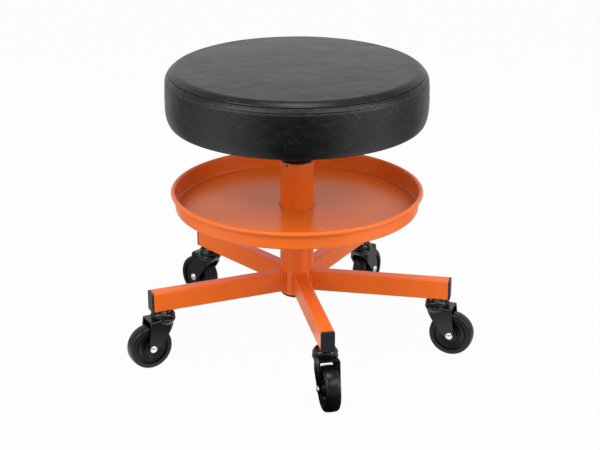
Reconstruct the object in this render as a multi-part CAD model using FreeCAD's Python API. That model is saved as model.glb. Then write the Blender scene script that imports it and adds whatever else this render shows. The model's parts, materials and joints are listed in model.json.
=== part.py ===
"""Low rolling workshop seat: padded round seat on a gas lift, tool tray and five casters.

Millimetres, +Z up. The origin is on the column's axis, at the floor under the wheels.
The front leg points along -Y, but for its small turn, and the height lever along +Y.
"""
import FreeCAD, Part
import math
import os
from FreeCAD import Placement, Rotation, Vector

os.makedirs("parts", exist_ok=True)

UP = Vector(0, 0, 1)
OVERRUN = 5.0            # how far a cutting tool runs past what it cuts
RUN_FIT = 0.05           # radial clearance of a part that turns or slides on another
SEAT_FIT = 0.02          # radial clearance of a part that is pressed or welded in place
AIR = 0.3                # gap between faces that move past each other
PARALLEL_share = 0.9     # how much of an edge's direction lies along an axis it counts as parallel to

# Wheels
WHEEL_R = 33.0
WHEEL_W = 21.0
TREAD_ROUND = 4.2        # rounding from the tread to the side of the wheel
TREAD_CROWN = 0.5        # how far the tread's edges drop below its middle
WEB_DEPTH = 4.6          # recess of the web behind the rim's face
HUB_R = 10.3             # ring round the hub, level with the rim's face
HUB_DRAFT = 0.8
BOSS_R = 7.0             # middle of the hub, which reaches out to the fork's arms
AXLE_R = 3.0
AXLE_HEAD_R = 5.3
AXLE_HEAD_H = 2.4

# Rings on a wheel's face, as shares of the wheel's radius and of the web's depth
RIM_EDGE_share = 0.745
GROOVE_OUT_share = 0.735
GROOVE_IN_share = 0.675
WEB_RING_share = 0.40
GROOVE_DEPTH_share = 0.75
WEB_RIM_share = 0.3

# Caster forks and their ball races
FORK_T = 2.5
FORK_SIDE_GAP = 2.5      # between the wheel's side and the fork's arm
FORK_BEND = 3.2          # outer radius where the arms fold down
FORK_TIP_R = 7.0         # round end of an arm about the axle
FORK_TOP_GAP = 7.5       # above the wheel
FORK_BACK = 2.0          # how far the bridge reaches past the axle
TRAIL = 23.0             # from the swivel's axis to the axle
FLARE_W = 3.0            # how far the fork's round head stands out past its arms
FLARE_H = 7.5            # height over which the head widens
RACE_H = 1.0             # lower race, raised out of the fork's top
RACE_GAP = 0.6           # open line between the two races
CUP_IN = 0.5             # the cup's edge, inside the head's widest line
CUP_H = 6.1              # to the foot of its dished crown
CUP_BAND = 1.9           # upright band at the cup's foot
CUP_EDGE = 0.8           # rounding under the band and ledge above it
CUP_SHOULDER_R = 16.3
CUP_SHOULDER_DROP = 0.9  # the shoulder, below the crown's foot
CUP_RING_R = 13.8        # raised ring round the dished crown
CUP_RING_H = 1.5
CUP_CROWN_R = 9.0        # flat middle of the crown
BALL_R = 2.0
BALL_TRACK_R = 12.4
BALL_COUNT = 10

# Stems, which screw into nuts inside the legs
STEM_R = 5.0
STEM_COLLAR_R = 7.5
STEM_COLLAR_H = 2.8
STEM_RIVET_R = 7.6
STEM_RIVET_H = 2.2
STEM_NUT_FLATS = 16.0
STEM_NUT_H = 8.0
STEM_TIP = 1.0           # chamfer at the stem's ends

# Legs
LEGS = 5
LEG_END = 228.0          # from the column's axis to the end of the tube
LEG_W = 20.0
LEG_H = 30.0
LEG_WALL = 1.5
LEG_ROUND = 2.4          # outer corner of the tube
STEM_INSET = 15.5        # from the leg's end to the stem
CAP_FLANGE_T = 3.4
CAP_SKIRT = 5.5
CAP_SKIRT_T = 1.4
CAP_EDGE = 0.7
FIRST_LEG_DEG = -90.0
# How far each leg is welded off its place in a regular star
LEG_TURNS_DEG = (2.6, -0.7, -0.9, -2.8, -3.1)
# How far each caster is turned from its leg's own direction as the seat stands
HEADINGS_DEG = (2.2, -10.0, -1.7, 6.9, 7.0)

# Column
COLUMN_R = 25.0
COLUMN_WALL = 2.0
COLUMN_LEN = 206.0
COLUMN_DROP = 4.0        # how far it reaches below the legs
NUB_R = 1.7              # snap nub of the guide bush, in a hole through the column
NUB_CLEAR = 0.15
NUB_BELOW_TOP = 2.8
NUB_RECESS = 0.6
NUB_DEG = -134.9
END_CAP_T = 4.4
END_CAP_RIM_R = 23.6
END_CAP_SKIRT = 4.0
END_CAP_WALL = 1.8
END_CAP_EDGE = 1.6

# Guide bush in the column's mouth
BUSH_LEN = 60.0
BUSH_RIM_R = 23.4
BUSH_RIM_T = 1.6
BUSH_DOME_H = 5.4
BUSH_LIP = 2.2
DOME_BULGE_share = 0.7
BUSH_SKIN = 2.4          # inner and outer sleeve of the bush, joined by ribs
BUSH_RIBS = 8
BUSH_RIB_T = 2.0
BUSH_HEAD_T = 8.0        # closed head above the ribs

# Tool tray
TRAY_FLOOR_ABOVE_LEGS = 102.0
TRAY_T = 1.2
TRAY_RIM_R = 185.8
TRAY_DEPTH = 26.4        # from the floor to the top of the rolled rim
TRAY_ROLL_R = 4.0
TRAY_ROLL_END_DEG = -118.0
TRAY_TAPER_DEG = 6.5     # lean of the wall
TRAY_FILLET = 4.0
TRAY_HOLE_CLEAR = 0.6
COLLAR_R = 42.0
COLLAR_T = 3.0
COLLAR_NECK_R = 29.0
COLLAR_NECK_H = 8.0

# Gas spring
CYLINDER_R = 14.0
CYLINDER_WALL = 1.5
CYLINDER_GUIDE = 18.0    # seal and guide at its lower end
CYLINDER_HEAD = 8.0      # solid head above the chamber
CYLINDER_PROUD = 2.0     # its top, above the bracket's web
TAPER_DEG = 1.432
ROD_R = 5.0
ROD_END_R = 4.0
ROD_TAIL = 4.0           # rod below the clip
PISTON_R = 12.4
PISTON_H = 10.0
PISTON_ROOM = 4.0
VALVE_R = 4.0
VALVE_OUT = 6.0          # valve pin above the cylinder at rest
VALVE_IN = 7.0
VALVE_BORE = 10.2
VALVE_DOME = 1.2

# Bearing that the rod turns on, at the foot of the column
FOOT_DISC_T = 4.0
FOOT_DISC_UP = 8.0       # its underside, above the column's lower end
WASHER_R = 13.0
WASHER_T = 1.5
FOOT_BALL_R = 1.5
FOOT_BALL_TRACK_R = 9.4
FOOT_BALL_COUNT = 10
BUFFER_R = 11.0
BUFFER_T = 4.3
CLIP_R = 8.0
CLIP_T = 1.2
CLIP_GROOVE = 0.9

# Seat bracket under the board, a hat section that the lever lies in
BRACKET_X = 136.0
BRACKET_Y = 150.0
BRACKET_T = 2.5
BRACKET_DEPTH = 20.0     # inside depth of the channel
CHANNEL_W = 44.0
BRACKET_CORNER = 12.0
BRACKET_BEND = 3.0
SOCKET_LEN = 27.0
SOCKET_WALL = 4.0
SOCKET_EDGE = 1.0
BOLT_X = 50.0
BOLT_Y = 58.0
BOLT_R = 3.0
BOLT_HEAD_FLATS = 10.0
BOLT_HEAD_H = 4.0
BOLT_FLANGE_R = 7.0
BOLT_FLANGE_T = 1.2
T_NUT_R = 9.5
T_NUT_T = 1.3
T_NUT_BARREL_R = 4.2
T_NUT_BARREL_H = 8.5

# Height lever
LEVER_R = 4.0
PIVOT_REACH = 28.0       # from the valve pin to the pivot
PIVOT_PIN_R = 2.5
PIVOT_HEAD_R = 4.2
PIVOT_HEAD_T = 2.0
BARREL_R = 5.2
LEVER_TAIL = 9.0         # past the valve pin
LEVER_REACH = 173.0
LEVER_BEND_AT = 42.0
LEVER_FALL = 15.0        # how far the handle lies below the pivot
LEVER_BEND_R = 22.0
GRIP_LEN = 62.0
GRIP_R = 6.5             # at its middle
GRIP_WAIST = 0.7         # how much slimmer it is towards its ends
GRIP_END = 3.0           # closed end past the lever
GRIP_RUN = 6.0           # from the corner of the lever's lower bend to the grip

# Seat
SEAT_R = 190.0
SEAT_GAP = 60.5          # from the column's top to the seat's underside
SEAT_H = 81.5            # to the crown
SEAM_UP = 72.5           # seam above the underside
SEAM_IN = 4.5            # seam inside the widest line
SIDE_UP = 43.0           # top of the upright part of the side
EDGE_ROUND = 17.5
SHOULDER = 6.6           # rounding above the seam
SEAM_GAP = 0.6
COVER_T = 1.0
HEM_R = 150.0            # inner edge of the turned-in hem
SOFT_GAP = 0.2
BOARD_T = 12.0
BOARD_IN = 17.0          # board's edge inside the widest line
BOARD_EDGE = 1.5
DUST_T = 0.8
DUST_IN = 24.0           # dust cover's edge inside the widest line

# Heights that follow from the sizes above
widest_z = 2 * WHEEL_R + FORK_TOP_GAP
fork_top_z = widest_z + FORK_T
race_top_z = fork_top_z + RACE_H
cup_low_z = race_top_z + RACE_GAP
cup_top_z = cup_low_z + CUP_H
ball_z = (race_top_z + cup_low_z) / 2
leg_low_z = cup_top_z + STEM_COLLAR_H
leg_top_z = leg_low_z + LEG_H
column_low_z = leg_low_z - COLUMN_DROP
column_top_z = column_low_z + COLUMN_LEN
tray_z = leg_top_z + TRAY_FLOOR_ABOVE_LEGS
seat_z = column_top_z + SEAT_GAP
board_z = seat_z + COVER_T
bracket_z = board_z - DUST_T
web_top_z = bracket_z - BRACKET_DEPTH
foot_disc_z = column_low_z + FOOT_DISC_UP
clip_z = foot_disc_z - AIR - CLIP_T
bearing_z = foot_disc_z + FOOT_DISC_T
upper_washer_z = bearing_z + WASHER_T + 2 * FOOT_BALL_R + 2 * RUN_FIT
rod_shoulder_z = upper_washer_z + WASHER_T
cylinder_low_z = rod_shoulder_z + BUFFER_T + AIR
taper_z = web_top_z - SOCKET_LEN
cylinder_top_z = web_top_z + CYLINDER_PROUD
chamber_top_z = cylinder_top_z - VALVE_BORE - CYLINDER_HEAD
valve_top_z = cylinder_top_z + VALVE_OUT
lever_z = valve_top_z + AIR + LEVER_R
seam_z = seat_z + SEAM_UP
crown_z = seat_z + SEAT_H

# Radii and places that follow
stem_at = LEG_END - STEM_INSET
column_bore_r = COLUMN_R - COLUMN_WALL
fork_inner = WHEEL_W / 2 + FORK_SIDE_GAP
fork_outer = fork_inner + FORK_T
race_r = fork_outer + FLARE_W
cup_r = race_r - CUP_IN
lever_low_at = LEVER_REACH + GRIP_END - GRIP_LEN - GRIP_RUN
taper_top_r = CYLINDER_R - (cylinder_top_z - taper_z) * math.tan(math.radians(TAPER_DEG))
socket_r = CYLINDER_R + SOCKET_WALL
seam_r = SEAT_R - SEAM_IN
board_r = SEAT_R - BOARD_IN


def put(shape, at=Vector(), turn_deg=0):
    """A copy of a shape, turned about +Z and then moved."""
    moved = shape.copy()
    moved.Placement = Placement(at, Rotation(UP, turn_deg)).multiply(moved.Placement)
    return moved


def around(radius, angle_deg, height=0):
    """The point at a radius and an angle about the column."""
    angle = math.radians(angle_deg)
    return Vector(radius * math.cos(angle), radius * math.sin(angle), height)


def rod(radius, low, high, at=Vector()):
    """An upright round bar between two heights."""
    return Part.makeCylinder(radius, high - low, at + UP * low, UP)


def tube(outer, inner, low, high):
    """An upright round tube between two heights."""
    return rod(outer, low, high).cut(rod(inner, low - OVERRUN, high + OVERRUN))


def slab(x_size, y_size, low, high, corner=0):
    """An upright plate centred on the column, with rounded corners."""
    plate = Part.makeBox(x_size, y_size, high - low, Vector(-x_size / 2, -y_size / 2, low))
    if corner:
        upright = [e for e in plate.Edges if abs(e.tangentAt(e.FirstParameter).z) > PARALLEL_share]
        plate = plate.makeFillet(corner, upright)
    return plate


def bar(start, length, width, low, high, corner):
    """A bar along +X with its four long edges rounded."""
    block = Part.makeBox(length, width, high - low, Vector(start, -width / 2, low))
    along = [e for e in block.Edges if abs(e.tangentAt(e.FirstParameter).x) > PARALLEL_share]
    return block.makeFillet(corner, along)


def outline(start, *steps):
    """A closed wire in the X-Z plane. A step is a corner, or the middle and the end of an arc."""
    edges = []
    here = Vector(start[0], 0, start[1])
    for step in steps + (start,):
        if isinstance(step[0], tuple):
            middle, end = (Vector(x, 0, z) for x, z in step)
            edges.append(Part.Arc(here, middle, end).toShape())
        else:
            end = Vector(step[0], 0, step[1])
            edges.append(Part.LineSegment(here, end).toShape())
        here = end
    return Part.Wire(edges)


def on_circle(centre, radius, angle_deg):
    """The point of a circle in the X-Z plane at an angle from +X."""
    angle = math.radians(angle_deg)
    return (centre[0] + radius * math.cos(angle), centre[1] + radius * math.sin(angle))


def arc(centre, radius, from_deg, to_deg):
    """An arc as a step of an outline: its middle and its end."""
    return (on_circle(centre, radius, (from_deg + to_deg) / 2), on_circle(centre, radius, to_deg))


def cap_arc(foot, rise):
    """An arc from (foot, 0) to (0, rise) about the axis, as its middle point."""
    radius = (foot ** 2 + rise ** 2) / (2 * rise)
    half = math.degrees(math.atan2(foot, radius - rise)) / 2
    return on_circle((0, rise - radius), radius, 90 - half)


def turned(wire):
    """The round solid that an outline makes about the column's axis."""
    return Part.Face(wire).revolve(Vector(), UP, 360)


def lay_along_y(shape):
    """Turns a round solid from the Z axis to the Y axis."""
    laid = shape.copy()
    laid.Placement = Placement(Vector(), Rotation(Vector(1, 0, 0), -90)).multiply(laid.Placement)
    return laid


def lay_along_x(shape):
    """Turns a round solid from the Z axis to the X axis."""
    laid = shape.copy()
    laid.Placement = Placement(Vector(), Rotation(Vector(0, 1, 0), 90)).multiply(laid.Placement)
    return laid


# Wheels and casters, made with the swivel's axis at the origin and the wheel trailing along +X

def wheel():
    """Moulded wheel with a crowned tread, a groove inside the rim, a dished web and a stepped hub."""
    face = WHEEL_W / 2
    boss = fork_inner - AIR
    groove = face - WEB_DEPTH * GROOVE_DEPTH_share
    shoulder = face - TREAD_ROUND
    tread_r = WHEEL_R - TREAD_CROWN
    centre_r = tread_r - TREAD_ROUND
    side = [
        (BOSS_R, boss),
        (BOSS_R, face),
        (HUB_R, face),
        (HUB_R + HUB_DRAFT, face - WEB_DEPTH),
        (WHEEL_R * WEB_RING_share, face - WEB_DEPTH),
        (WHEEL_R * WEB_RING_share + HUB_DRAFT, face - WEB_DEPTH + HUB_DRAFT),
        (WHEEL_R * GROOVE_IN_share, face - WEB_DEPTH * WEB_RIM_share),
        (WHEEL_R * GROOVE_IN_share, groove),
        (WHEEL_R * GROOVE_OUT_share, groove),
        (WHEEL_R * RIM_EDGE_share, face),
        (centre_r, face),
    ]
    bore = AXLE_R + RUN_FIT
    over = arc((centre_r, shoulder), TREAD_ROUND, 90, 0)
    crown = ((WHEEL_R, 0), (tread_r, -shoulder))
    under = arc((centre_r, -shoulder), TREAD_ROUND, 0, -90)
    back = [(r, -w) for r, w in reversed(side[:-1])]
    body = turned(outline((bore, boss), *side, over, crown, under, *back, (bore, -boss)))
    return put(lay_along_y(body), Vector(TRAIL, 0, WHEEL_R))


def axle():
    """Riveted axle with a domed head on each arm."""
    foot = fork_outer
    middle = cap_arc(AXLE_HEAD_R, AXLE_HEAD_H)
    body = turned(outline(
        (0, -foot - AXLE_HEAD_H),
        ((middle[0], -foot - middle[1]), (AXLE_HEAD_R, -foot)),
        (AXLE_R, -foot),
        (AXLE_R, foot),
        (AXLE_HEAD_R, foot),
        ((middle[0], foot + middle[1]), (0, foot + AXLE_HEAD_H)),
    ))
    return put(lay_along_y(body), Vector(TRAIL, 0, WHEEL_R))


def fork_form(inset, *head_top):
    """The fork's form, moved in by an inset: a channel behind a round head that flares upwards."""
    half = fork_outer - inset
    low = WHEEL_R - FORK_TIP_R - OVERRUN
    flare_z = widest_z - FLARE_H
    bend = (FLARE_H ** 2 + FLARE_W ** 2) / (4 * FLARE_W)
    turn = math.degrees(math.asin(FLARE_H / (2 * bend)))
    head = turned(outline(
        (0, low), (half, low), (half, flare_z),
        arc((fork_outer + bend, flare_z), bend + inset, 180, 180 - turn),
        arc((race_r - bend, widest_z), bend - inset, -turn, 0), *head_top,
    ))
    length = TRAIL + FORK_TIP_R + OVERRUN
    return head.fuse(bar(0, length, 2 * half, low, fork_top_z - inset, FORK_BEND - inset))


def fork_side():
    """The outline of the fork, seen from the side."""
    lead = Vector(-race_r - AIR, 0, widest_z)
    tip = Vector(TRAIL, 0, WHEEL_R)
    reach = tip - lead
    slope = math.degrees(math.atan2(reach.z, reach.x) - math.asin(FORK_TIP_R / reach.Length))
    back = TRAIL + FORK_BACK
    above = race_top_z + OVERRUN
    return outline(
        (lead.x, lead.z), (lead.x, above), (back, above), (back, fork_top_z),
        (TRAIL + FORK_TIP_R, WHEEL_R), arc((TRAIL, WHEEL_R), FORK_TIP_R, 0, slope - 90),
    )


def ball_groove(height):
    """The ring that the balls run in, about a height."""
    return Part.makeTorus(BALL_TRACK_R, BALL_R + RUN_FIT, UP * height, UP)


def fork():
    """Pressed fork: a round head with the lower race, a bridge over the wheel and two arms."""
    edge = race_top_z - widest_z
    outside = fork_form(0, arc((race_r - edge, widest_z), edge, 0, 90), (0, race_top_z))
    inside = fork_form(FORK_T, (0, widest_z))
    half = race_r + OVERRUN
    sides = Part.Face(fork_side()).extrude(Vector(0, 2 * half, 0))
    body = outside.cut(inside).common(put(sides, Vector(0, -half, 0))).removeSplitter()
    body = body.cut(ball_groove(ball_z))
    body = body.cut(rod(STEM_R + RUN_FIT, 0, race_top_z + OVERRUN))
    pin = lay_along_y(rod(AXLE_R + SEAT_FIT, -fork_outer - OVERRUN, fork_outer + OVERRUN))
    return body.cut(put(pin, Vector(TRAIL, 0, WHEEL_R)))


def cup():
    """Domed upper race with a dished crown, fixed to the stem."""
    band = cup_low_z + CUP_BAND
    shell = turned(outline(
        (STEM_R + SEAT_FIT, cup_low_z), (cup_r - CUP_EDGE, cup_low_z),
        arc((cup_r - CUP_EDGE, cup_low_z + CUP_EDGE), CUP_EDGE, -90, 0),
        (cup_r, band), (cup_r - CUP_EDGE, band),
        ((CUP_SHOULDER_R, cup_top_z - CUP_SHOULDER_DROP), (CUP_RING_R, cup_top_z + CUP_RING_H)),
        (CUP_CROWN_R, cup_top_z), (STEM_R + SEAT_FIT, cup_top_z),
    ))
    return shell.cut(ball_groove(ball_z))


def stem():
    """Threaded stem: riveted under the fork, with a collar against the leg."""
    rivet_top = widest_z - AIR
    top = leg_low_z + LEG_WALL + STEM_NUT_H + STEM_TIP
    return turned(outline(
        (0, rivet_top - STEM_RIVET_H), (STEM_RIVET_R - STEM_TIP, rivet_top - STEM_RIVET_H),
        (STEM_RIVET_R, rivet_top), (STEM_R, rivet_top), (STEM_R, cup_top_z),
        (STEM_COLLAR_R, cup_top_z), (STEM_COLLAR_R, leg_low_z), (STEM_R, leg_low_z),
        (STEM_R, top - STEM_TIP), (STEM_R - STEM_TIP, top), (0, top),
    ))


def balls(radius, track_r, height, count):
    """A ring of bearing balls."""
    return [Part.makeSphere(radius, around(track_r, 360 * n / count, height)) for n in range(count)]


def hexagon(flats, low, high):
    """An upright hexagonal bar, with two of its corners along X."""
    corner = flats / 2 / math.cos(math.radians(30))
    ring = [around(corner, 60 * n, low) for n in range(7)]
    return Part.Face(Part.makePolygon(ring)).extrude(UP * (high - low))


def stem_nut():
    """Nut inside the leg, with its flats beside the leg's walls."""
    low = leg_low_z + LEG_WALL
    high = low + STEM_NUT_H
    return hexagon(STEM_NUT_FLATS, low, high).cut(rod(STEM_R + SEAT_FIT, low - OVERRUN, high + OVERRUN))


# Legs, made along +X

def leg():
    """Rectangular tube, coped to the column and drilled for the caster's stem."""
    wall = LEG_WALL
    body = bar(0, LEG_END, LEG_W, leg_low_z, leg_top_z, LEG_ROUND)
    hollow = bar(-OVERRUN, LEG_END + 2 * OVERRUN, LEG_W - 2 * wall, leg_low_z + wall,
                 leg_top_z - wall, LEG_ROUND - wall)
    body = body.cut(hollow).cut(rod(COLUMN_R + SEAT_FIT, leg_low_z - OVERRUN, leg_top_z + OVERRUN))
    hole = rod(STEM_R + SEAT_FIT, leg_low_z - OVERRUN, leg_low_z + wall + OVERRUN)
    return body.cut(put(hole, Vector(stem_at, 0, 0)))


def leg_cap():
    """Plastic plug in a leg's end: a rounded face and a hollow skirt."""
    wall = LEG_WALL + SEAT_FIT
    face = bar(LEG_END, CAP_FLANGE_T, LEG_W, leg_low_z, leg_top_z, LEG_ROUND)
    front = [e for e in face.Edges if e.BoundBox.XMin > LEG_END + CAP_FLANGE_T / 2]
    face = face.makeFillet(CAP_EDGE, front)
    skirt = bar(LEG_END - CAP_SKIRT, CAP_SKIRT, LEG_W - 2 * wall, leg_low_z + wall,
                leg_top_z - wall, LEG_ROUND - LEG_WALL)
    inset = wall + CAP_SKIRT_T
    hollow = Part.makeBox(CAP_SKIRT + OVERRUN, LEG_W - 2 * inset, LEG_H - 2 * inset,
                          Vector(LEG_END - CAP_SKIRT - OVERRUN, inset - LEG_W / 2, leg_low_z + inset))
    return face.fuse(skirt.cut(hollow)).removeSplitter()


# Column and tray

def nub_bar(radius, inner, outer):
    """A round bar that lies across the column's wall at the guide bush's nub."""
    at = around(inner, NUB_DEG, column_top_z - NUB_BELOW_TOP)
    return Part.makeCylinder(radius, outer - inner, at, around(1, NUB_DEG))


def column():
    """Round tube that the legs are welded to."""
    body = tube(COLUMN_R, column_bore_r, column_low_z, column_top_z)
    return body.cut(nub_bar(NUB_R + NUB_CLEAR, column_bore_r - OVERRUN, COLUMN_R + OVERRUN))


def foot_disc():
    """Steel disc welded across the column's foot, which the gas spring's rod passes."""
    return tube(column_bore_r - SEAT_FIT, ROD_END_R + RUN_FIT, foot_disc_z, bearing_z)


def end_cap():
    """Plastic cap that closes the column's foot."""
    low = column_low_z - END_CAP_T
    skirt_r = column_bore_r - SEAT_FIT
    top = column_low_z + END_CAP_SKIRT
    return turned(outline(
        (0, low), (END_CAP_RIM_R - END_CAP_EDGE, low),
        arc((END_CAP_RIM_R - END_CAP_EDGE, low + END_CAP_EDGE), END_CAP_EDGE, -90, 0),
        (END_CAP_RIM_R, column_low_z), (skirt_r, column_low_z), (skirt_r, top),
        (skirt_r - END_CAP_WALL, top), (skirt_r - END_CAP_WALL, column_low_z - END_CAP_T / 2),
        (0, column_low_z - END_CAP_T / 2),
    ))


def guide_bush():
    """Moulded bush: two sleeves joined by ribs, a closed head, a domed rim and a snap nub."""
    bore = CYLINDER_R + RUN_FIT
    outer = column_bore_r - SEAT_FIT
    low = column_top_z - BUSH_LEN
    rim = column_top_z + BUSH_RIM_T
    dome = rim + BUSH_DOME_H
    body = turned(outline(
        (bore, low), (bore + BUSH_SKIN, low), (bore + BUSH_SKIN, column_top_z - BUSH_HEAD_T),
        (outer - BUSH_SKIN, column_top_z - BUSH_HEAD_T), (outer - BUSH_SKIN, low), (outer, low),
        (outer, column_top_z), (BUSH_RIM_R, column_top_z),
        arc((BUSH_RIM_R - BUSH_RIM_T, column_top_z), BUSH_RIM_T, 0, 90),
        ((bore + BUSH_LIP + BUSH_RIM_T, rim + BUSH_DOME_H * DOME_BULGE_share), (bore + BUSH_LIP, dome)),
        (bore, dome),
    ))
    rib = Part.makeBox(outer - bore - BUSH_SKIN, BUSH_RIB_T, BUSH_LEN - BUSH_HEAD_T,
                       Vector(bore + BUSH_SKIN / 2, -BUSH_RIB_T / 2, low))
    ribs = [put(rib, turn_deg=NUB_DEG + 360 * n / BUSH_RIBS) for n in range(BUSH_RIBS)]
    body = body.multiFuse(ribs + [nub_bar(NUB_R, outer - BUSH_SKIN, COLUMN_R - NUB_RECESS)])
    return body.removeSplitter()


def tray():
    """Spun tray: flat floor, leaning wall and a rim rolled outwards and down."""
    lean = math.radians(TRAY_TAPER_DEG)
    roll = (TRAY_RIM_R - TRAY_ROLL_R, tray_z + TRAY_DEPTH - TRAY_ROLL_R)
    start = 180 - TRAY_TAPER_DEG
    foot_r = TRAY_FILLET + TRAY_T
    wall_top = on_circle(roll, TRAY_ROLL_R, start)
    bend_z = tray_z + TRAY_FILLET
    bend_r = wall_top[0] - (TRAY_FILLET - (bend_z - wall_top[1]) * math.sin(lean)) / math.cos(lean)
    bend = (bend_r, bend_z)
    hole = COLUMN_R + TRAY_HOLE_CLEAR
    thin = TRAY_ROLL_R - TRAY_T
    over = start / 2
    return turned(outline(
        (hole, tray_z), (bend_r, tray_z), arc(bend, TRAY_FILLET, -90, -TRAY_TAPER_DEG),
        wall_top, arc(roll, TRAY_ROLL_R, start, over), arc(roll, TRAY_ROLL_R, over, 0),
        arc(roll, TRAY_ROLL_R, 0, TRAY_ROLL_END_DEG), on_circle(roll, thin, TRAY_ROLL_END_DEG),
        arc(roll, thin, TRAY_ROLL_END_DEG, 0), arc(roll, thin, 0, over), arc(roll, thin, over, start),
        on_circle(bend, foot_r, -TRAY_TAPER_DEG), arc(bend, foot_r, -TRAY_TAPER_DEG, -90),
        (hole, tray_z - TRAY_T),
    ))


def tray_collar():
    """Flanged collar on the column, under the tray."""
    top = tray_z - TRAY_T
    bore = COLUMN_R + SEAT_FIT
    return turned(outline(
        (bore, top), (COLLAR_R, top), (COLLAR_R, top - COLLAR_T), (COLLAR_NECK_R, top - COLLAR_T),
        (COLLAR_NECK_R, top - COLLAR_NECK_H), (bore, top - COLLAR_NECK_H),
    ))


# Gas spring and its bearing

def piston_rod():
    """Rod of the gas spring: a necked end with a clip groove below, a piston above."""
    tail = clip_z - ROD_TAIL
    piston_top = chamber_top_z - PISTON_ROOM
    groove_r = ROD_END_R - CLIP_GROOVE
    return turned(outline(
        (0, tail), (ROD_END_R, tail), (ROD_END_R, clip_z), (groove_r, clip_z),
        (groove_r, clip_z + CLIP_T), (ROD_END_R, clip_z + CLIP_T), (ROD_END_R, rod_shoulder_z),
        (ROD_R, rod_shoulder_z), (ROD_R, piston_top - PISTON_H), (PISTON_R, piston_top - PISTON_H),
        (PISTON_R, piston_top), (0, piston_top),
    ))


def rod_clip():
    """Open spring clip in the rod's groove."""
    groove_r = ROD_END_R - CLIP_GROOVE
    ring = tube(CLIP_R, groove_r + SEAT_FIT, clip_z, clip_z + CLIP_T)
    mouth = Part.makeBox(CLIP_R + OVERRUN, 2 * groove_r, CLIP_T + 2 * OVERRUN,
                         Vector(0, -groove_r, clip_z - OVERRUN))
    return ring.cut(mouth)


def bearing_washer(low):
    """Hardened washer of the foot bearing."""
    return tube(WASHER_R, ROD_END_R + RUN_FIT, low, low + WASHER_T)


def rod_buffer():
    """Rubber ring that the cylinder comes down on."""
    return tube(BUFFER_R, ROD_R + SEAT_FIT, rod_shoulder_z, rod_shoulder_z + BUFFER_T)


def gas_cylinder():
    """Cylinder of the gas spring: guide below, chamber, and a taper with the valve's bore above."""
    bore = CYLINDER_R - CYLINDER_WALL
    guide_top = cylinder_low_z + CYLINDER_GUIDE
    valve_floor = cylinder_top_z - VALVE_BORE
    return turned(outline(
        (ROD_R + RUN_FIT, cylinder_low_z), (CYLINDER_R - CYLINDER_WALL, cylinder_low_z),
        (CYLINDER_R, cylinder_low_z + CYLINDER_WALL), (CYLINDER_R, taper_z),
        (taper_top_r, cylinder_top_z), (VALVE_R + RUN_FIT, cylinder_top_z),
        (VALVE_R + RUN_FIT, valve_floor), (0, valve_floor), (0, chamber_top_z),
        (bore, chamber_top_z), (bore, guide_top), (ROD_R + RUN_FIT, guide_top),
    ))


def valve_pin():
    """Release pin with a domed top."""
    rim = valve_top_z - VALVE_DOME
    middle = cap_arc(VALVE_R, VALVE_DOME)
    low = cylinder_top_z - VALVE_IN
    return turned(outline(
        (0, low), (VALVE_R, low), (VALVE_R, rim), ((middle[0], rim + middle[1]), (0, valve_top_z)),
    ))


# Bracket and lever under the seat

def bolt_places():
    """The four bolts' places."""
    return [Vector(x, y, 0) for x in (-BOLT_X, BOLT_X) for y in (-BOLT_Y, BOLT_Y)]


def bracket():
    """Pressed hat section, open at both ends, with holes for the socket, the bolts and the pivot."""
    edge = BRACKET_X / 2
    wall = CHANNEL_W / 2
    inner = wall - BRACKET_T
    tight = BRACKET_BEND - BRACKET_T
    top_bend = (inner + BRACKET_BEND, bracket_z - BRACKET_BEND)
    low_bend = (wall - BRACKET_BEND, web_top_z + tight)
    top_left, low_left = (-top_bend[0], top_bend[1]), (-low_bend[0], low_bend[1])
    under = bracket_z - BRACKET_T
    section = outline(
        (-edge, bracket_z), (top_left[0], bracket_z), arc(top_left, BRACKET_BEND, 90, 0),
        (-inner, low_bend[1]), arc(low_left, tight, 180, 270), (low_bend[0], web_top_z),
        arc(low_bend, tight, -90, 0), (inner, top_bend[1]), arc(top_bend, BRACKET_BEND, 180, 90),
        (edge, bracket_z), (edge, under), (top_bend[0], under), arc(top_bend, tight, 90, 180),
        (wall, low_bend[1]), arc(low_bend, BRACKET_BEND, 0, -90),
        (low_left[0], web_top_z - BRACKET_T), arc(low_left, BRACKET_BEND, 270, 180),
        (-wall, top_bend[1]), arc(top_left, tight, 0, 90), (-edge, under),
    )
    body = Part.Face(section).extrude(Vector(0, BRACKET_Y, 0))
    body = put(body, Vector(0, -BRACKET_Y / 2, 0))
    body = body.common(slab(BRACKET_X, BRACKET_Y, web_top_z - BRACKET_T, bracket_z, BRACKET_CORNER))
    body = body.cut(rod(socket_r + SEAT_FIT, web_top_z - BRACKET_T - OVERRUN, web_top_z + OVERRUN))
    for place in bolt_places():
        body = body.cut(rod(BOLT_R + AIR, under - OVERRUN, bracket_z + OVERRUN, place))
    pin = lay_along_x(rod(PIVOT_PIN_R + SEAT_FIT, -edge, edge))
    return body.cut(put(pin, Vector(0, PIVOT_REACH, lever_z)))


def socket():
    """Tapered socket welded into the bracket, which grips the cylinder's taper."""
    slope = math.tan(math.radians(TAPER_DEG))
    top_r = CYLINDER_R + SEAT_FIT - SOCKET_LEN * slope
    return turned(outline(
        (CYLINDER_R + SEAT_FIT, taper_z), (socket_r - SOCKET_EDGE, taper_z),
        (socket_r, taper_z + SOCKET_EDGE), (socket_r, web_top_z), (top_r, web_top_z),
    ))


def pivot_pin():
    """Pin through the bracket's walls, headed at both ends."""
    half = CHANNEL_W / 2
    end = half + PIVOT_HEAD_T
    body = turned(outline(
        (0, -end), (PIVOT_HEAD_R, -end), (PIVOT_HEAD_R, -half), (PIVOT_PIN_R, -half),
        (PIVOT_PIN_R, half), (PIVOT_HEAD_R, half), (PIVOT_HEAD_R, end), (0, end),
    ))
    return put(lay_along_x(body), Vector(0, PIVOT_REACH, lever_z))


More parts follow.
